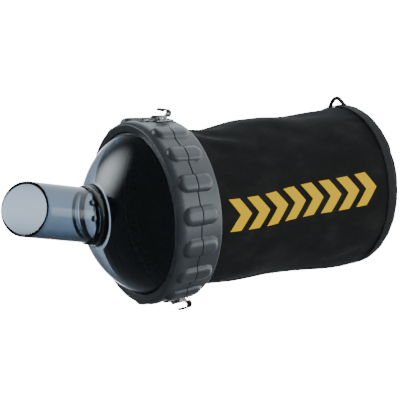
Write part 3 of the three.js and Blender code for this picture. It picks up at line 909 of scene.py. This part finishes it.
class BAG_OT_inner_rings(bpy.types.Operator):
    """Gasket, retaining ring, seal, clamp ring and the bag's hem inside the collar"""

    bl_idname = "bag.inner_rings"
    bl_label = "Inner rings"

    def execute(self, context):
        rings = [
            ("dome_gasket", "gasket_ring", "rubber", "soft_rubber", 0.7),
            ("dome_retaining_ring", "retaining_ring", "collar_plastic", "inner_plastic", 0.5),
            ("collar_seal", "seal_ring", "rubber", "soft_rubber", 0.8),
            ("bag_clamp_ring", "clamp_ring", "latch_steel", "plated_steel", 0.4),
        ]
        for node, name, slot, finish, edge in rings:
            profile = rounded_ring(*ring_sizes(node), edge)
            fit(turned(profile, 192), name, "dust_bag", finish_of(finish), [node], 45)
        start, stop, inner, outer = ring_sizes("bag_neck_hem")
        profile = rounded_ring(start, stop, inner, outer, 1.2)
        steps = 192

        def place(row, step):
            x, r = profile[row]
            turn = TAU * step / steps
            return spot(x + 0.1 * math.sin(17 * turn), r, turn)

        def chart(row, step):
            return (row * 0.0009, TAU * step / steps * inner * MM)

        bm = sleeve(len(profile), steps, place, True, chart)
        fit(bm, "neck_hem", "dust_bag", finish_of("plain_canvas"), ["bag_neck_hem"], 60)
        return {"FINISHED"}


# ---- The cloth bag ----
# along the bag: places, radii and how far it sags
BAG_X = [40, 43, 52, 62, 72, 80, 90, 103, 117, 130, 143, 156, 170, 183, 197, 211, 225, 231]
BAG_R = [
    70.05, 70.0, 69.9, 69.8, 69.8, 69.9, 70.1, 70.4, 70.8,
    70.9, 71.2, 71.5, 72.0, 73.0, 73.8, 74.1, 74.4, 74.45,
]
BAG_DROP = [0, 0, 0.6, 1.5, 2.2, 2.5, 2.8, 2.2, 1.1, 0.9, 0.7, 1.3, 1.9, 1.8, 1.7, 1.6, 0.8, 0.5]
END_LEAN = 3.0
END_AHEAD = 1.6
SEAM_TURN = math.radians(262)
PIPING_CORD = 1.3
PANEL_GAP = 0.3


def end_shift(x, turn):
    """How far the bag's leaning end carries a point along the axis."""
    t = smooth_step(x, 120.0, PIPING_X)
    return t * (END_AHEAD + END_LEAN * math.cos(turn))


def smoothed(values, width):
    padded = np.concatenate([[values[0]] * width, values, [values[-1]] * width])
    kernel = np.hanning(2 * width + 1)
    return np.convolve(padded, kernel / kernel.sum(), "same")[width:-width]


def bag_folds(xs, turns):
    """Depth of the cloth's folds, as rows along the bag and columns round it."""
    rng = random.Random(11)
    # from x, turn to x, turn, in degrees from straight up towards -Y, with width and height
    folds = [
        (46, 12, 96, 34, 9, -2.4), (44, 30, 120, 52, 8, 1.6), (46, 48, 100, 40, 7, -1.5),
        (60, -8, 104, 6, 12, -2.8), (96, 10, 178, 30, 13, 1.5), (44, 64, 90, 76, 6, 1.2),
        (120, 26, 190, 58, 9, -1.3), (150, 4, 222, 22, 9, -1.2), (44, 132, 104, 118, 8, -1.7),
        (48, 150, 128, 136, 9, 1.5), (90, 140, 170, 122, 10, -1.7), (140, 128, 206, 146, 9, 1.3),
        (176, 150, 228, 136, 7, -1.4), (60, 168, 130, 158, 9, -1.6), (196, 40, 229, 66, 6, -1.1),
        (204, 112, 229, 104, 5, -1.0), (150, 166, 222, 172, 10, 1.2),
    ]
    for _ in range(15):  # the far side's long folds
        x, a = rng.uniform(44, 170), rng.uniform(188, 345)
        folds.append((x, a, x + rng.uniform(40, 80), a + rng.uniform(-26, 26), rng.uniform(6, 12),
                      rng.choice((-1, 1)) * rng.uniform(0.9, 2.0)))
    for i in range(26):  # gathers at the neck
        a = i * 360 / 26 + rng.uniform(-4, 4)
        folds.append((44, a, 44 + rng.uniform(16, 42), a + rng.uniform(-7, 7), rng.uniform(2.4, 4.2),
                      rng.choice((-1, 1)) * rng.uniform(0.35, 0.9)))
    for i in range(30):  # puckers at the end seam
        a = i * 12 + rng.uniform(-4, 4)
        folds.append((PIPING_X - 3, a, PIPING_X - rng.uniform(14, 34), a + rng.uniform(-6, 6),
                      rng.uniform(2.2, 4.0), -rng.uniform(0.3, 0.75)))
    grid_x, grid_a = np.meshgrid(xs, turns, indexing="ij")
    total = np.zeros_like(grid_x)
    round_it = CLOTH_RADIUS / MM
    for x0, a0, x1, a1, wide, deep in folds:
        a0, a1 = math.radians(a0), math.radians(a1)
        start_v = swing_from(grid_a, a0) * round_it
        run_x, run_v = x1 - x0, (a1 - a0) * round_it
        length = math.hypot(run_x, run_v)
        t = ((grid_x - x0) * run_x + start_v * run_v) / length ** 2
        held = np.clip(t, 0, 1)
        off = np.hypot(grid_x - x0 - held * run_x, start_v - held * run_v)
        bend = np.sin(held * 7 + a0 * 3) * wide * 0.25
        shape = np.exp(-(((off + bend * 0.3) / wide) ** 2))
        fade = np.clip(1.15 - np.abs(held * 2 - 0.9), 0, 1) ** 0.8
        total += deep * shape * fade
    billow = (np.sin(grid_x / 31 + 3 * grid_a + 0.6) * np.sin(grid_x / 47 + 1.3)
              + 0.6 * np.sin(grid_x / 19 - 4 * grid_a + 2) + 0.4 * np.cos(grid_x / 13 + 7 * grid_a))
    total += 0.45 * billow
    swing = swing_from(grid_a, TAU / 4 + 0.1)
    calm = np.exp(-((swing / 0.42) ** 4)) * smooth_step(grid_x, 50, 75)
    total *= 1 - 0.6 * calm
    tied = smooth_step(grid_x, COLLAR_END + 1, COLLAR_END + 22) * (1 - smooth_step(grid_x, 222, 229.5))
    return total * tied * sizes().fold_depth


class BAG_OT_cloth(bpy.types.Operator):
    """The bag's tube of printed canvas with its folds, sag and back seam"""

    bl_idname = "bag.cloth"
    bl_label = "Bag cloth"

    def execute(self, context):
        steps = sizes().cloth_steps
        inside = [CLOTH_START + 0.3, 33, 39.8, 43.0]
        xs = np.concatenate([inside, np.arange(44.6, CLOTH_END - 1, 1.75), [CLOTH_END - 0.4]])
        turns = TAU * np.arange(steps) / steps
        fine = np.arange(20, 240, 1.0)
        radius = np.interp(xs, fine, smoothed(np.interp(fine, BAG_X, BAG_R), 6))
        drop = np.interp(xs, fine, smoothed(np.interp(fine, BAG_X, BAG_DROP), 6))
        radius[:len(inside)] = NECK - 0.05
        drop[:len(inside)] = 0
        folds = bag_folds(xs, turns)
        swing = np.abs(swing_from(turns, SEAM_TURN)) * CLOTH_RADIUS / MM
        ridge = 0.55 * (1 - smooth_step(swing, 4.2, 5.0))
        ridge_on = smooth_step(xs, COLLAR_END + 1, COLLAR_END + 6)

        def place(row, step):
            turn = turns[step]
            x = xs[row]
            r = radius[row] + folds[row, step] + ridge[step] * ridge_on[row]
            p = spot(x + end_shift(x, turn), r, turn)
            p.z -= drop[row] * MM
            return p

        def chart(row, step):
            return (xs[row] * MM, TAU * step / steps * CLOTH_RADIUS)

        bm = sleeve(len(xs), steps, place, chart=chart)
        cloth = fit(bm, "bag_tube", "dust_bag", finish_of("printed_canvas"),
                    ["bag_cloth"], 80)
        wall = cloth.modifiers.new("wall", "SOLIDIFY")
        wall.thickness = CLOTH_THICK
        wall.offset = -1
        length = (CLOTH_END - CLOTH_START) * MM
        return {"FINISHED"}


THREAD = 0.00028  # radii of the thread and the loop's cord, in metres
LOOP_CORD = 0.0018
TACK_PITCH = 0.00055


def stitches(line, name, long=0.0021, thick=THREAD, every=0.0029):
    """Short raised stitches along a line of (point, outward) pairs."""
    points = np.array([p for p, _ in line])
    outs = np.array([n for _, n in line])
    run = np.concatenate([[0], np.cumsum(np.linalg.norm(np.diff(points, axis=0), axis=1))])
    parts = bmesh.new()
    count = int(run[-1] / every)
    for i in range(count):
        at = (i + 0.5) * every
        here = Vector([np.interp(at, run, points[:, k]) for k in range(3)])
        ahead = Vector([np.interp(at + long / 2, run, points[:, k])
                        - np.interp(at - long / 2, run, points[:, k]) for k in range(3)]).normalized()
        out = Vector([np.interp(at, run, outs[:, k]) for k in range(3)]).normalized()
        side = ahead.cross(out).normalized()
        made = bmesh.ops.create_uvsphere(parts, u_segments=6, v_segments=4, radius=1)["verts"]
        turn = Matrix((side * thick, out * thick, ahead * long / 2)).transposed().to_4x4()
        bmesh.ops.transform(parts, matrix=Matrix.Translation(here) @ turn, verts=made)
    bmesh.ops.recalc_face_normals(parts, faces=parts.faces)
    return fit(parts, name, "dust_bag", finish_of("sewing_thread"), (), 180)


class BAG_OT_end(bpy.types.Operator):
    """The bag's end: piping, binding tape, puckered panel and their stitching"""

    bl_idname = "bag.end"
    bl_label = "Bag end"

    def execute(self, context):
        steps = 240
        ring = bow(0, 0, PIPING_CORD, 0, 330, 11)

        def piping(row, step):
            turn = TAU * step / steps
            dx, dr = ring[row]
            return spot(PIPING_X + end_shift(PIPING_X, turn) + dx, PIPING_RADIUS + dr, turn)

        def piping_chart(row, step):
            return (TAU * PIPING_RADIUS * MM * step / steps, row * 0.00068)

        bm = sleeve(len(ring), steps, piping, True, piping_chart)
        fit(bm, "end_piping", "dust_bag", finish_of("braided_trim"), ["bag_end_piping"], 180)

        tape = rounded_ring(222.4, PIPING_X - 1.0, 74.42, 75.25, 0.38)

        def binding(row, step):
            turn = TAU * step / steps
            x, r = tape[row]
            pucker = 0.1 * math.sin(23 * turn) + 0.08 * math.sin(41 * turn + 1)
            p = spot(x + end_shift(x, turn) + pucker, r + 0.6 * pucker, turn)
            p.z -= 0.6 * MM * (1 - smooth_step(x, 224, 231))
            return p

        def binding_chart(row, step):
            return (TAU * 75 * MM * step / steps, row * 0.0006)

        bm = sleeve(len(tape), steps, binding, True, binding_chart)
        fit(bm, "end_binding", "dust_bag", finish_of("braided_trim"), (), 60)

        panel_start = PIPING_X + PIPING_CORD + PANEL_GAP
        edge = PIPING_RADIUS
        shares = (1, 0.985, 0.96, 0.93, 0.88, 0.82, 0.74, 0.64, 0.52, 0.4, 0.28, 0.16, 0.07, 0)
        radii = [edge * t for t in shares]
        rng = random.Random(5)
        waves = [(rng.randint(9, 31), rng.uniform(0, TAU), rng.uniform(0.05, 0.16)) for _ in range(6)]

        def panel(row, step):
            turn = TAU * step / steps
            r = radii[row]
            t = r / edge
            pucker = sum(h * math.sin(n * turn + p) for n, p, h in waves) * t ** 6
            slack = 0.5 * math.sin(2 * turn + 0.7) * math.sin(math.pi * t)
            lean = END_AHEAD + END_LEAN * math.cos(turn) * t
            x = panel_start + lean + 3.6 * (1 - t ** 2.4) + pucker + slack
            return spot(x, r, turn)

        def panel_chart(row, step):
            turn = TAU * step / steps
            return (radii[row] * MM * math.cos(turn), radii[row] * MM * math.sin(turn))

        bm = sleeve(len(radii), steps, panel, chart=panel_chart)
        obj = fit(bm, "end_panel", "dust_bag", finish_of("plain_canvas"),
                  ["bag_end_panel"], 80)
        wall = obj.modifiers.new("wall", "SOLIDIFY")
        wall.thickness = CLOTH_THICK
        wall.offset = 1
        2 * edge * MM
        2 * edge * MM
        math.pi * (edge * MM) ** 2

        def round_line(x, r, fall):
            line = []
            for i in range(241):
                turn = TAU * i / 240
                p = spot(x + end_shift(x, turn), r, turn)
                p.z -= fall * MM
                line.append((p, Vector((0, -math.sin(turn), math.cos(turn)))))
            return line

        stitches(round_line(224.0, 75.32, 0.6), "binding_stitches")
        stitches(round_line(229.4, 75.32, 0.1), "piping_stitches")
        return {"FINISHED"}


class BAG_OT_back_seam(bpy.types.Operator):
    """Two rows of stitches along the bag's folded back seam"""

    bl_idname = "bag.back_seam"
    bl_label = "Back seam"

    def execute(self, context):
        tube = bpy.data.objects["bag_tube"]
        for offset, name in ((-3.0, "seam_stitches_low"), (3.0, "seam_stitches_high")):
            line = []
            for x in np.arange(COLLAR_END + 4, 221, 2.0):
                turn = SEAM_TURN + offset * MM / CLOTH_RADIUS
                start = spot(x, 95, turn)
                inward = Vector((0, math.sin(turn), -math.cos(turn)))
                hit, where, *_ = tube.ray_cast(start, inward, distance=0.05)
                if hit:
                    line.append((where - inward * 0.0001, -inward))
            stitches(line, name)
        return {"FINISHED"}


class BAG_OT_hanging_loop(bpy.types.Operator):
    """Braided hanging loop, sewn on at both ends"""

    bl_idname = "bag.hanging_loop"
    bl_label = "Hanging loop"

    def execute(self, context):
        p = points_of("hanging_loop")
        x = (p[:, 0].min() + p[:, 0].max()) / 2
        half = p[:, 1].max() - 1.4
        foot = p[:, 2].min() + 0.6
        top = p[:, 2].max() - 1.4
        shape = [(-1.06, -0.35), (-1.0, 0.0), (-0.8, 0.3), (-0.52, 0.66), (-0.25, 0.95), (0, 1.0),
                 (0.3, 0.97), (0.62, 0.7), (0.85, 0.33), (1.0, 0.0), (1.05, -0.35)]
        knots = np.array([(x + 0.5 * z, y * half, foot + (top - foot) * z) for y, z in shape])
        t = np.arange(len(knots))
        fine = np.linspace(0, len(knots) - 1, 70)
        from_knots = [np.interp(fine, t, knots[:, k]) for k in range(3)]
        line = np.array([smoothed(c, 4) for c in from_knots]).T
        points = [at_bag(*at) for at in line]
        fit(wire(points, LOOP_CORD, 14), "loop_cord", "dust_bag", finish_of("braided_trim"),
            ["hanging_loop"], 180)
        for side, name in ((-1, "loop_tack_near"), (1, "loop_tack_far")):
            self.tack(x, side * half, foot, name)
        return {"FINISHED"}

    def tack(self, x, across, foot, name):
        """A bar tack: close stitches over the cord's end."""
        turn = math.atan2(-across, foot)
        out = Vector((0, -math.sin(turn), math.cos(turn)))
        base = spot(x, math.hypot(across, foot) + 0.5, turn)
        parts = []
        for k in range(7):
            centre = base + Vector((0, math.cos(turn), math.sin(turn))) * (k - 3) * TACK_PITCH
            line = []
            for bend in (np.arange(9) / 8 - 0.5) * math.pi * 0.9:
                line.append(centre + Vector((math.sin(bend) * 0.0019, 0, 0))
                            + out * (math.cos(bend) * 0.0012 - 0.0002))
            parts.append(wire(line, THREAD, 6))
        fit(joined(parts), name, "dust_bag", finish_of("sewing_thread"), (), 180)


# ---- The draw latches ----
PLATE_EDGE = 0.00014
TIP_EDGE = 0.0003
BAIL_WIRE = 0.7  # the wire's radius


def latch_turn(at):
    """Turns a latch's own place, with X along the collar and Z outwards, to where it sits."""
    return Matrix.Translation((FRONT, AXIS_Y, AXIS_Z)) @ Matrix.Rotation(at, 4, "X") @ Matrix.Scale(MM, 4)


def own_points(node, at):
    back = latch_turn(at).inverted()
    return np.array([back @ v.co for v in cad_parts[node].data.vertices])


def pressed(node, body, name, finish, edge):
    """A pressed sheet part: the node's shape with merged faces and fine rounded edges."""
    bm = bmesh.new()
    bm.from_mesh(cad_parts[node].data)
    bmesh.ops.remove_doubles(bm, verts=bm.verts, dist=1e-6)
    bmesh.ops.dissolve_limit(bm, angle_limit=math.radians(2), verts=bm.verts, edges=bm.edges)
    sharp = [e for e in bm.edges if len(e.link_faces) == 2 and e.calc_face_angle(0) > math.radians(35)]
    bmesh.ops.bevel(
        bm, geom=sharp, offset=edge, offset_type="OFFSET", segments=2, profile=0.5, material=-1,
        affect="EDGES", clamp_overlap=True,
    )
    bmesh.ops.remove_doubles(bm, verts=bm.verts, dist=2e-6)
    bmesh.ops.recalc_face_normals(bm, faces=bm.faces)
    if bm.calc_volume(signed=True) < 0:
        bmesh.ops.reverse_faces(bm, faces=bm.faces)
    return fit(bm, name, body, finish, [node], 30)


def rivet_head(node, at, body, name, along_y=False):
    """A rivet with a shank and a domed head, turned on its own axis."""
    p = own_points(node, at)
    low, high = p.min(0), p.max(0)
    centre = (low + high) / 2
    if along_y:
        side = 1 if centre[1] > 0 else -1
        reach = (abs(low[1]), abs(high[1]))
        base, tip = min(reach), max(reach)
        radius, shank, thick = (high[0] - low[0]) / 2, 0.85, 0.7
    else:
        side, base, tip = 1, low[2], high[2]
        radius, shank, thick = (high[0] - low[0]) / 2, 0.6, 0.7
    head = tip - thick
    profile = [(base, 0), (base, shank), (head, shank), (head, radius - 0.1), (head + 0.12, radius)]
    profile += [(head + 0.12 + (thick - 0.12) * math.sin(a), radius * math.cos(a))
                for a in np.radians(np.linspace(15, 90, 6))]
    steps = 24

    def place(row, step):
        along, r = profile[row]
        a = TAU * step / steps
        if along_y:
            own = Vector((centre[0] + r * math.cos(a), side * along, centre[2] + r * math.sin(a)))
        else:
            own = Vector((centre[0] + r * math.cos(a), centre[1] + r * math.sin(a), along))
        return latch_turn(at) @ own

    fit(sleeve(len(profile), steps, place), name, body, finish_of("plated_steel"),
        [node], 40)


class BAG_OT_latches(bpy.types.Operator):
    """Both draw latches: base, catch, lever, soft tip, wire bail and rivets"""

    bl_idname = "bag.latches"
    bl_label = "Draw latches"

    def execute(self, context):
        steel = finish_of("plated_steel")
        for end, at in LATCHES.items():
            root, lever, bail = "dust_bag", end + "_lever", end + "_bail"
            for node, body, piece in (
                ("latch_base", root, "base_plate"), ("latch_catch", root, "catch_plate"),
                ("latch_lever", lever, "lever_plate"),
            ):
                pressed(f"{end}_{node}", body, f"{end}_{piece}", steel, PLATE_EDGE)
            pressed(end + "_lever_tip", lever, end + "_tip_cap",
                    finish_of("soft_rubber"), TIP_EDGE)
            for node, piece, along_y in (
                ("base_rivet_front", "rivet_front", False), ("base_rivet_rear", "rivet_rear", False),
                ("catch_rivet", "rivet_catch", False),
                ("pivot_rivet_left", "pin_left", True), ("pivot_rivet_right", "pin_right", True),
            ):
                rivet_head(f"{end}_{node}", at, root, f"{end}_{piece}", along_y)
            self.bail(end, at, bail)
        return {"FINISHED"}

    def bail(self, end, at, body):
        """The wire loop, bent round at its cross bar and turned out into the lever."""
        p = own_points(end + "_latch_bail", at)
        wire_r = BAIL_WIRE
        front = p[:, 0].min() + wire_r
        pin = p[:, 0].max() - wire_r
        ends = np.abs(p[:, 1]).max() - 0.05
        near_front = p[p[:, 0] < front + wire_r]
        near_pin = p[p[:, 0] > pin - wire_r]
        z0 = (near_front[:, 2].min() + near_front[:, 2].max()) / 2
        z1 = (near_pin[:, 2].min() + near_pin[:, 2].max()) / 2
        leg = np.abs(p[p[:, 0] < pin - 2 * wire_r][:, 1]).max() - wire_r
        bend = 1.1

        def level(x):
            return z0 + (z1 - z0) * (x - front) / (pin - front)

        half = [(pin, ends)]
        half += [(pin - 0.5 + 0.5 * math.cos(a), leg + 0.5 - 0.5 * math.sin(a))
                 for a in np.radians(np.linspace(0, 90, 4))]
        half += [(x, leg) for x in np.linspace(pin - 1.5, front + bend + 0.6, 6)]
        half += [(front + bend - bend * math.sin(a), leg - bend + bend * math.cos(a))
                 for a in np.radians(np.linspace(0, 90, 6))]
        line = half + [(x, -y) for x, y in half[::-1]]
        points = [latch_turn(at) @ Vector((x, y, level(x))) for x, y in line]
        fit(wire(points, wire_r * MM, 12), end + "_bail_wire", body,
            finish_of("plated_steel"), [end + "_latch_bail"], 60)


# ---- Floor, light and camera ----
CAMERA_RIGHT = Vector((0.84797, -0.51916, -0.10688))
CAMERA_UP = Vector((0.11891, -0.01018, 0.99285))
CAMERA_BACK = Vector((-0.51654, -0.85461, 0.0531))
CAMERA_PLACE = Vector((-600.17, -1107.71, 72.6))
CAMERA_LENS = 130.43


WHITE = 16.0  # strength of what the camera sees round the bag
FLOOR_BELOW = 0.09
FAR_SHELL = 6.0  # the shells' radii in metres
THROUGH_SHELL = 5.5
GLOSS_SHELL = 5.4
GLOW_PLACE = (-3.3, 3.2, 2.8)
GLOW_REACH = 3.0


# name, direction, distance, width, height and power
LIGHTS = (
    ("key_box", (-0.62, 0.42, 0.62), 1.0, 0.34, 0.62, 3),
    ("top_box", (0.0, -0.35, 1.0), 1.1, 0.9, 0.5, 4),
    ("front_box", (0.1, -1.0, 0.2), 1.5, 1.0, 0.9, 17),
    ("low_box", (0.1, -0.8, -0.6), 1.5, 0.9, 0.6, 17),
)


def soft_box(name, toward, distance, wide, high, power):
    """An area light in a direction from the bag, facing it, that shiny surfaces don't mirror."""
    light = bpy.data.lights.new(name, "AREA")
    light.shape = "RECTANGLE"
    light.size, light.size_y = wide, high
    light.energy = power
    obj = bpy.data.objects.new(name, light)
    bpy.context.scene.collection.objects.link(obj)
    middle = at_bag(60, 0, 0)
    way = Vector(toward).normalized()
    obj.location = middle + way * distance
    obj.rotation_mode = "QUATERNION"
    obj.rotation_quaternion = way.to_track_quat("Z", "Y")
    obj.visible_glossy = False
    obj.visible_transmission = False


class BAG_OT_stage(bpy.types.Operator):
    """Pale floor and backdrop, soft boxes, even room light and the camera"""

    bl_idname = "bag.stage"
    bl_label = "Stage"

    def execute(self, context):
        white = Finish("studio_white").glow((1, 1, 1), WHITE)
        low = CAD_BOX[0].z - FLOOR_BELOW
        floor = bmesh.new()
        bmesh.ops.create_circle(floor, cap_ends=True, segments=96, radius=FAR_SHELL)
        bmesh.ops.translate(floor, vec=(0, 0, low), verts=floor.verts)
        self.staged(floor, "studio_floor", white)
        dome = self.shell(FAR_SHELL)
        bmesh.ops.bisect_plane(
            dome, geom=dome.verts[:] + dome.edges[:] + dome.faces[:], plane_co=(0, 0, low),
            plane_no=(0, 0, 1), clear_inner=True,
        )
        self.staged(dome, "studio_backdrop", white)

        # what is seen through the clear plastic: brighter ahead of the view and higher up
        through = Finish("studio_through")
        here = through.place()
        right, _, height = through.split(here)
        ahead = through.node("ShaderNodeVectorMath", {"operation": "DOT_PRODUCT"},
                             {0: here, 1: tuple(-CAMERA_BACK)}, 1)
        forward = (0.4 + 1.4 * height.blur(-1.8, -0.1)) * ahead.blur(2.4, 4.9)
        level = 0.3 + 0.4 * right.blur(1.2, 3.2) + forward
        seen = through.glow((0.93, 0.97, 1.0), level)
        self.staged(self.shell(THROUGH_SHELL), "studio_behind", seen, "transmission")

        # what shiny surfaces mirror: a soft lobe, a fall to one side and a strip
        gloss = Finish("studio_gloss")
        here = gloss.place()
        right, _, height = gloss.split(here)
        off = gloss.node("ShaderNodeVectorMath", {"operation": "DISTANCE"}, {0: here, 1: GLOW_PLACE}, 1)
        lobe = off.blur(GLOW_REACH, 0.2)
        side = right.blur(0.6, 2.8) * (0.2 + 2.3 * height.blur(-3.5, 3.2))
        strip = right.blur(1.4, 2.4) * height.blur(-2.6, -1.4) * (1 - height.blur(0.4, 1.4))
        mirrored = gloss.glow((0.88, 0.96, 1.0), 0.1 + side + 3.6 * strip + 8.5 * lobe)
        self.staged(self.shell(GLOSS_SHELL), "studio_gloss", mirrored, "glossy")

        world = bpy.data.worlds.new("room")
        world.use_nodes = True
        context.scene.world = world
        tree = world.node_tree
        tree.nodes["Background"].inputs["Color"].default_value = (0.93, 0.97, 1, 1)
        tree.nodes["Background"].inputs["Strength"].default_value = 0.5

        for light in LIGHTS:
            soft_box(*light)

        camera = bpy.data.cameras.new("camera")
        camera.lens = CAMERA_LENS
        camera.sensor_width = 36
        camera.clip_start, camera.clip_end = 0.05, 40
        obj = bpy.data.objects.new("camera", camera)
        context.scene.collection.objects.link(obj)
        turn = Matrix((CAMERA_RIGHT, CAMERA_UP, CAMERA_BACK)).transposed().to_4x4()
        obj.matrix_world = Matrix.Translation(at_bag(*CAMERA_PLACE)) @ turn
        context.scene.camera = obj
        return {"FINISHED"}

    def shell(self, radius):
        bm = bmesh.new()
        bmesh.ops.create_uvsphere(bm, u_segments=64, v_segments=32, radius=radius)
        return bm

    def staged(self, bm, name, material, seen_by="camera"):
        """A stage piece that one kind of ray sees."""
        mesh = bpy.data.meshes.new(name)
        bm.to_mesh(mesh)
        bm.free()
        mesh.materials.append(material)
        obj = bpy.data.objects.new(name, mesh)
        bpy.context.scene.collection.objects.link(obj)
        for ray in ("camera", "diffuse", "glossy", "transmission", "volume_scatter", "shadow"):
            setattr(obj, "visible_" + ray, ray == seen_by)


# ---- Panel and registration ----
STEPS = (
    BAG_OT_spout, BAG_OT_dome, BAG_OT_collar, BAG_OT_inner_rings, BAG_OT_cloth, BAG_OT_end,
    BAG_OT_back_seam, BAG_OT_hanging_loop, BAG_OT_latches, BAG_OT_stage,
)


class BAG_PT_panel(bpy.types.Panel):
    """Lists the dust bag's pieces"""

    bl_label = "Dust Bag"
    bl_idname = "BAG_PT_panel"
    bl_space_type = "VIEW_3D"
    bl_region_type = "UI"
    bl_category = "Dust Bag"

    def draw(self, context):
        layout = self.layout
        for name in BagSizes.__annotations__:
            layout.prop(context.scene.bag_sizes, name)
        for step in STEPS:
            layout.operator(step.bl_idname)


def register():
    for cls in (BagSizes, *STEPS, BAG_PT_panel):
        bpy.utils.register_class(cls)
    bpy.types.Scene.bag_sizes = PointerProperty(type=BagSizes)


def unregister():
    del bpy.types.Scene.bag_sizes
    for cls in reversed((BagSizes, *STEPS, BAG_PT_panel)):
        bpy.utils.unregister_class(cls)


def main():
    register()
    for step in STEPS:
        group, name = step.bl_idname.split(".")
        getattr(getattr(bpy.ops, group), name)()


if __name__ == "__main__":
    main()
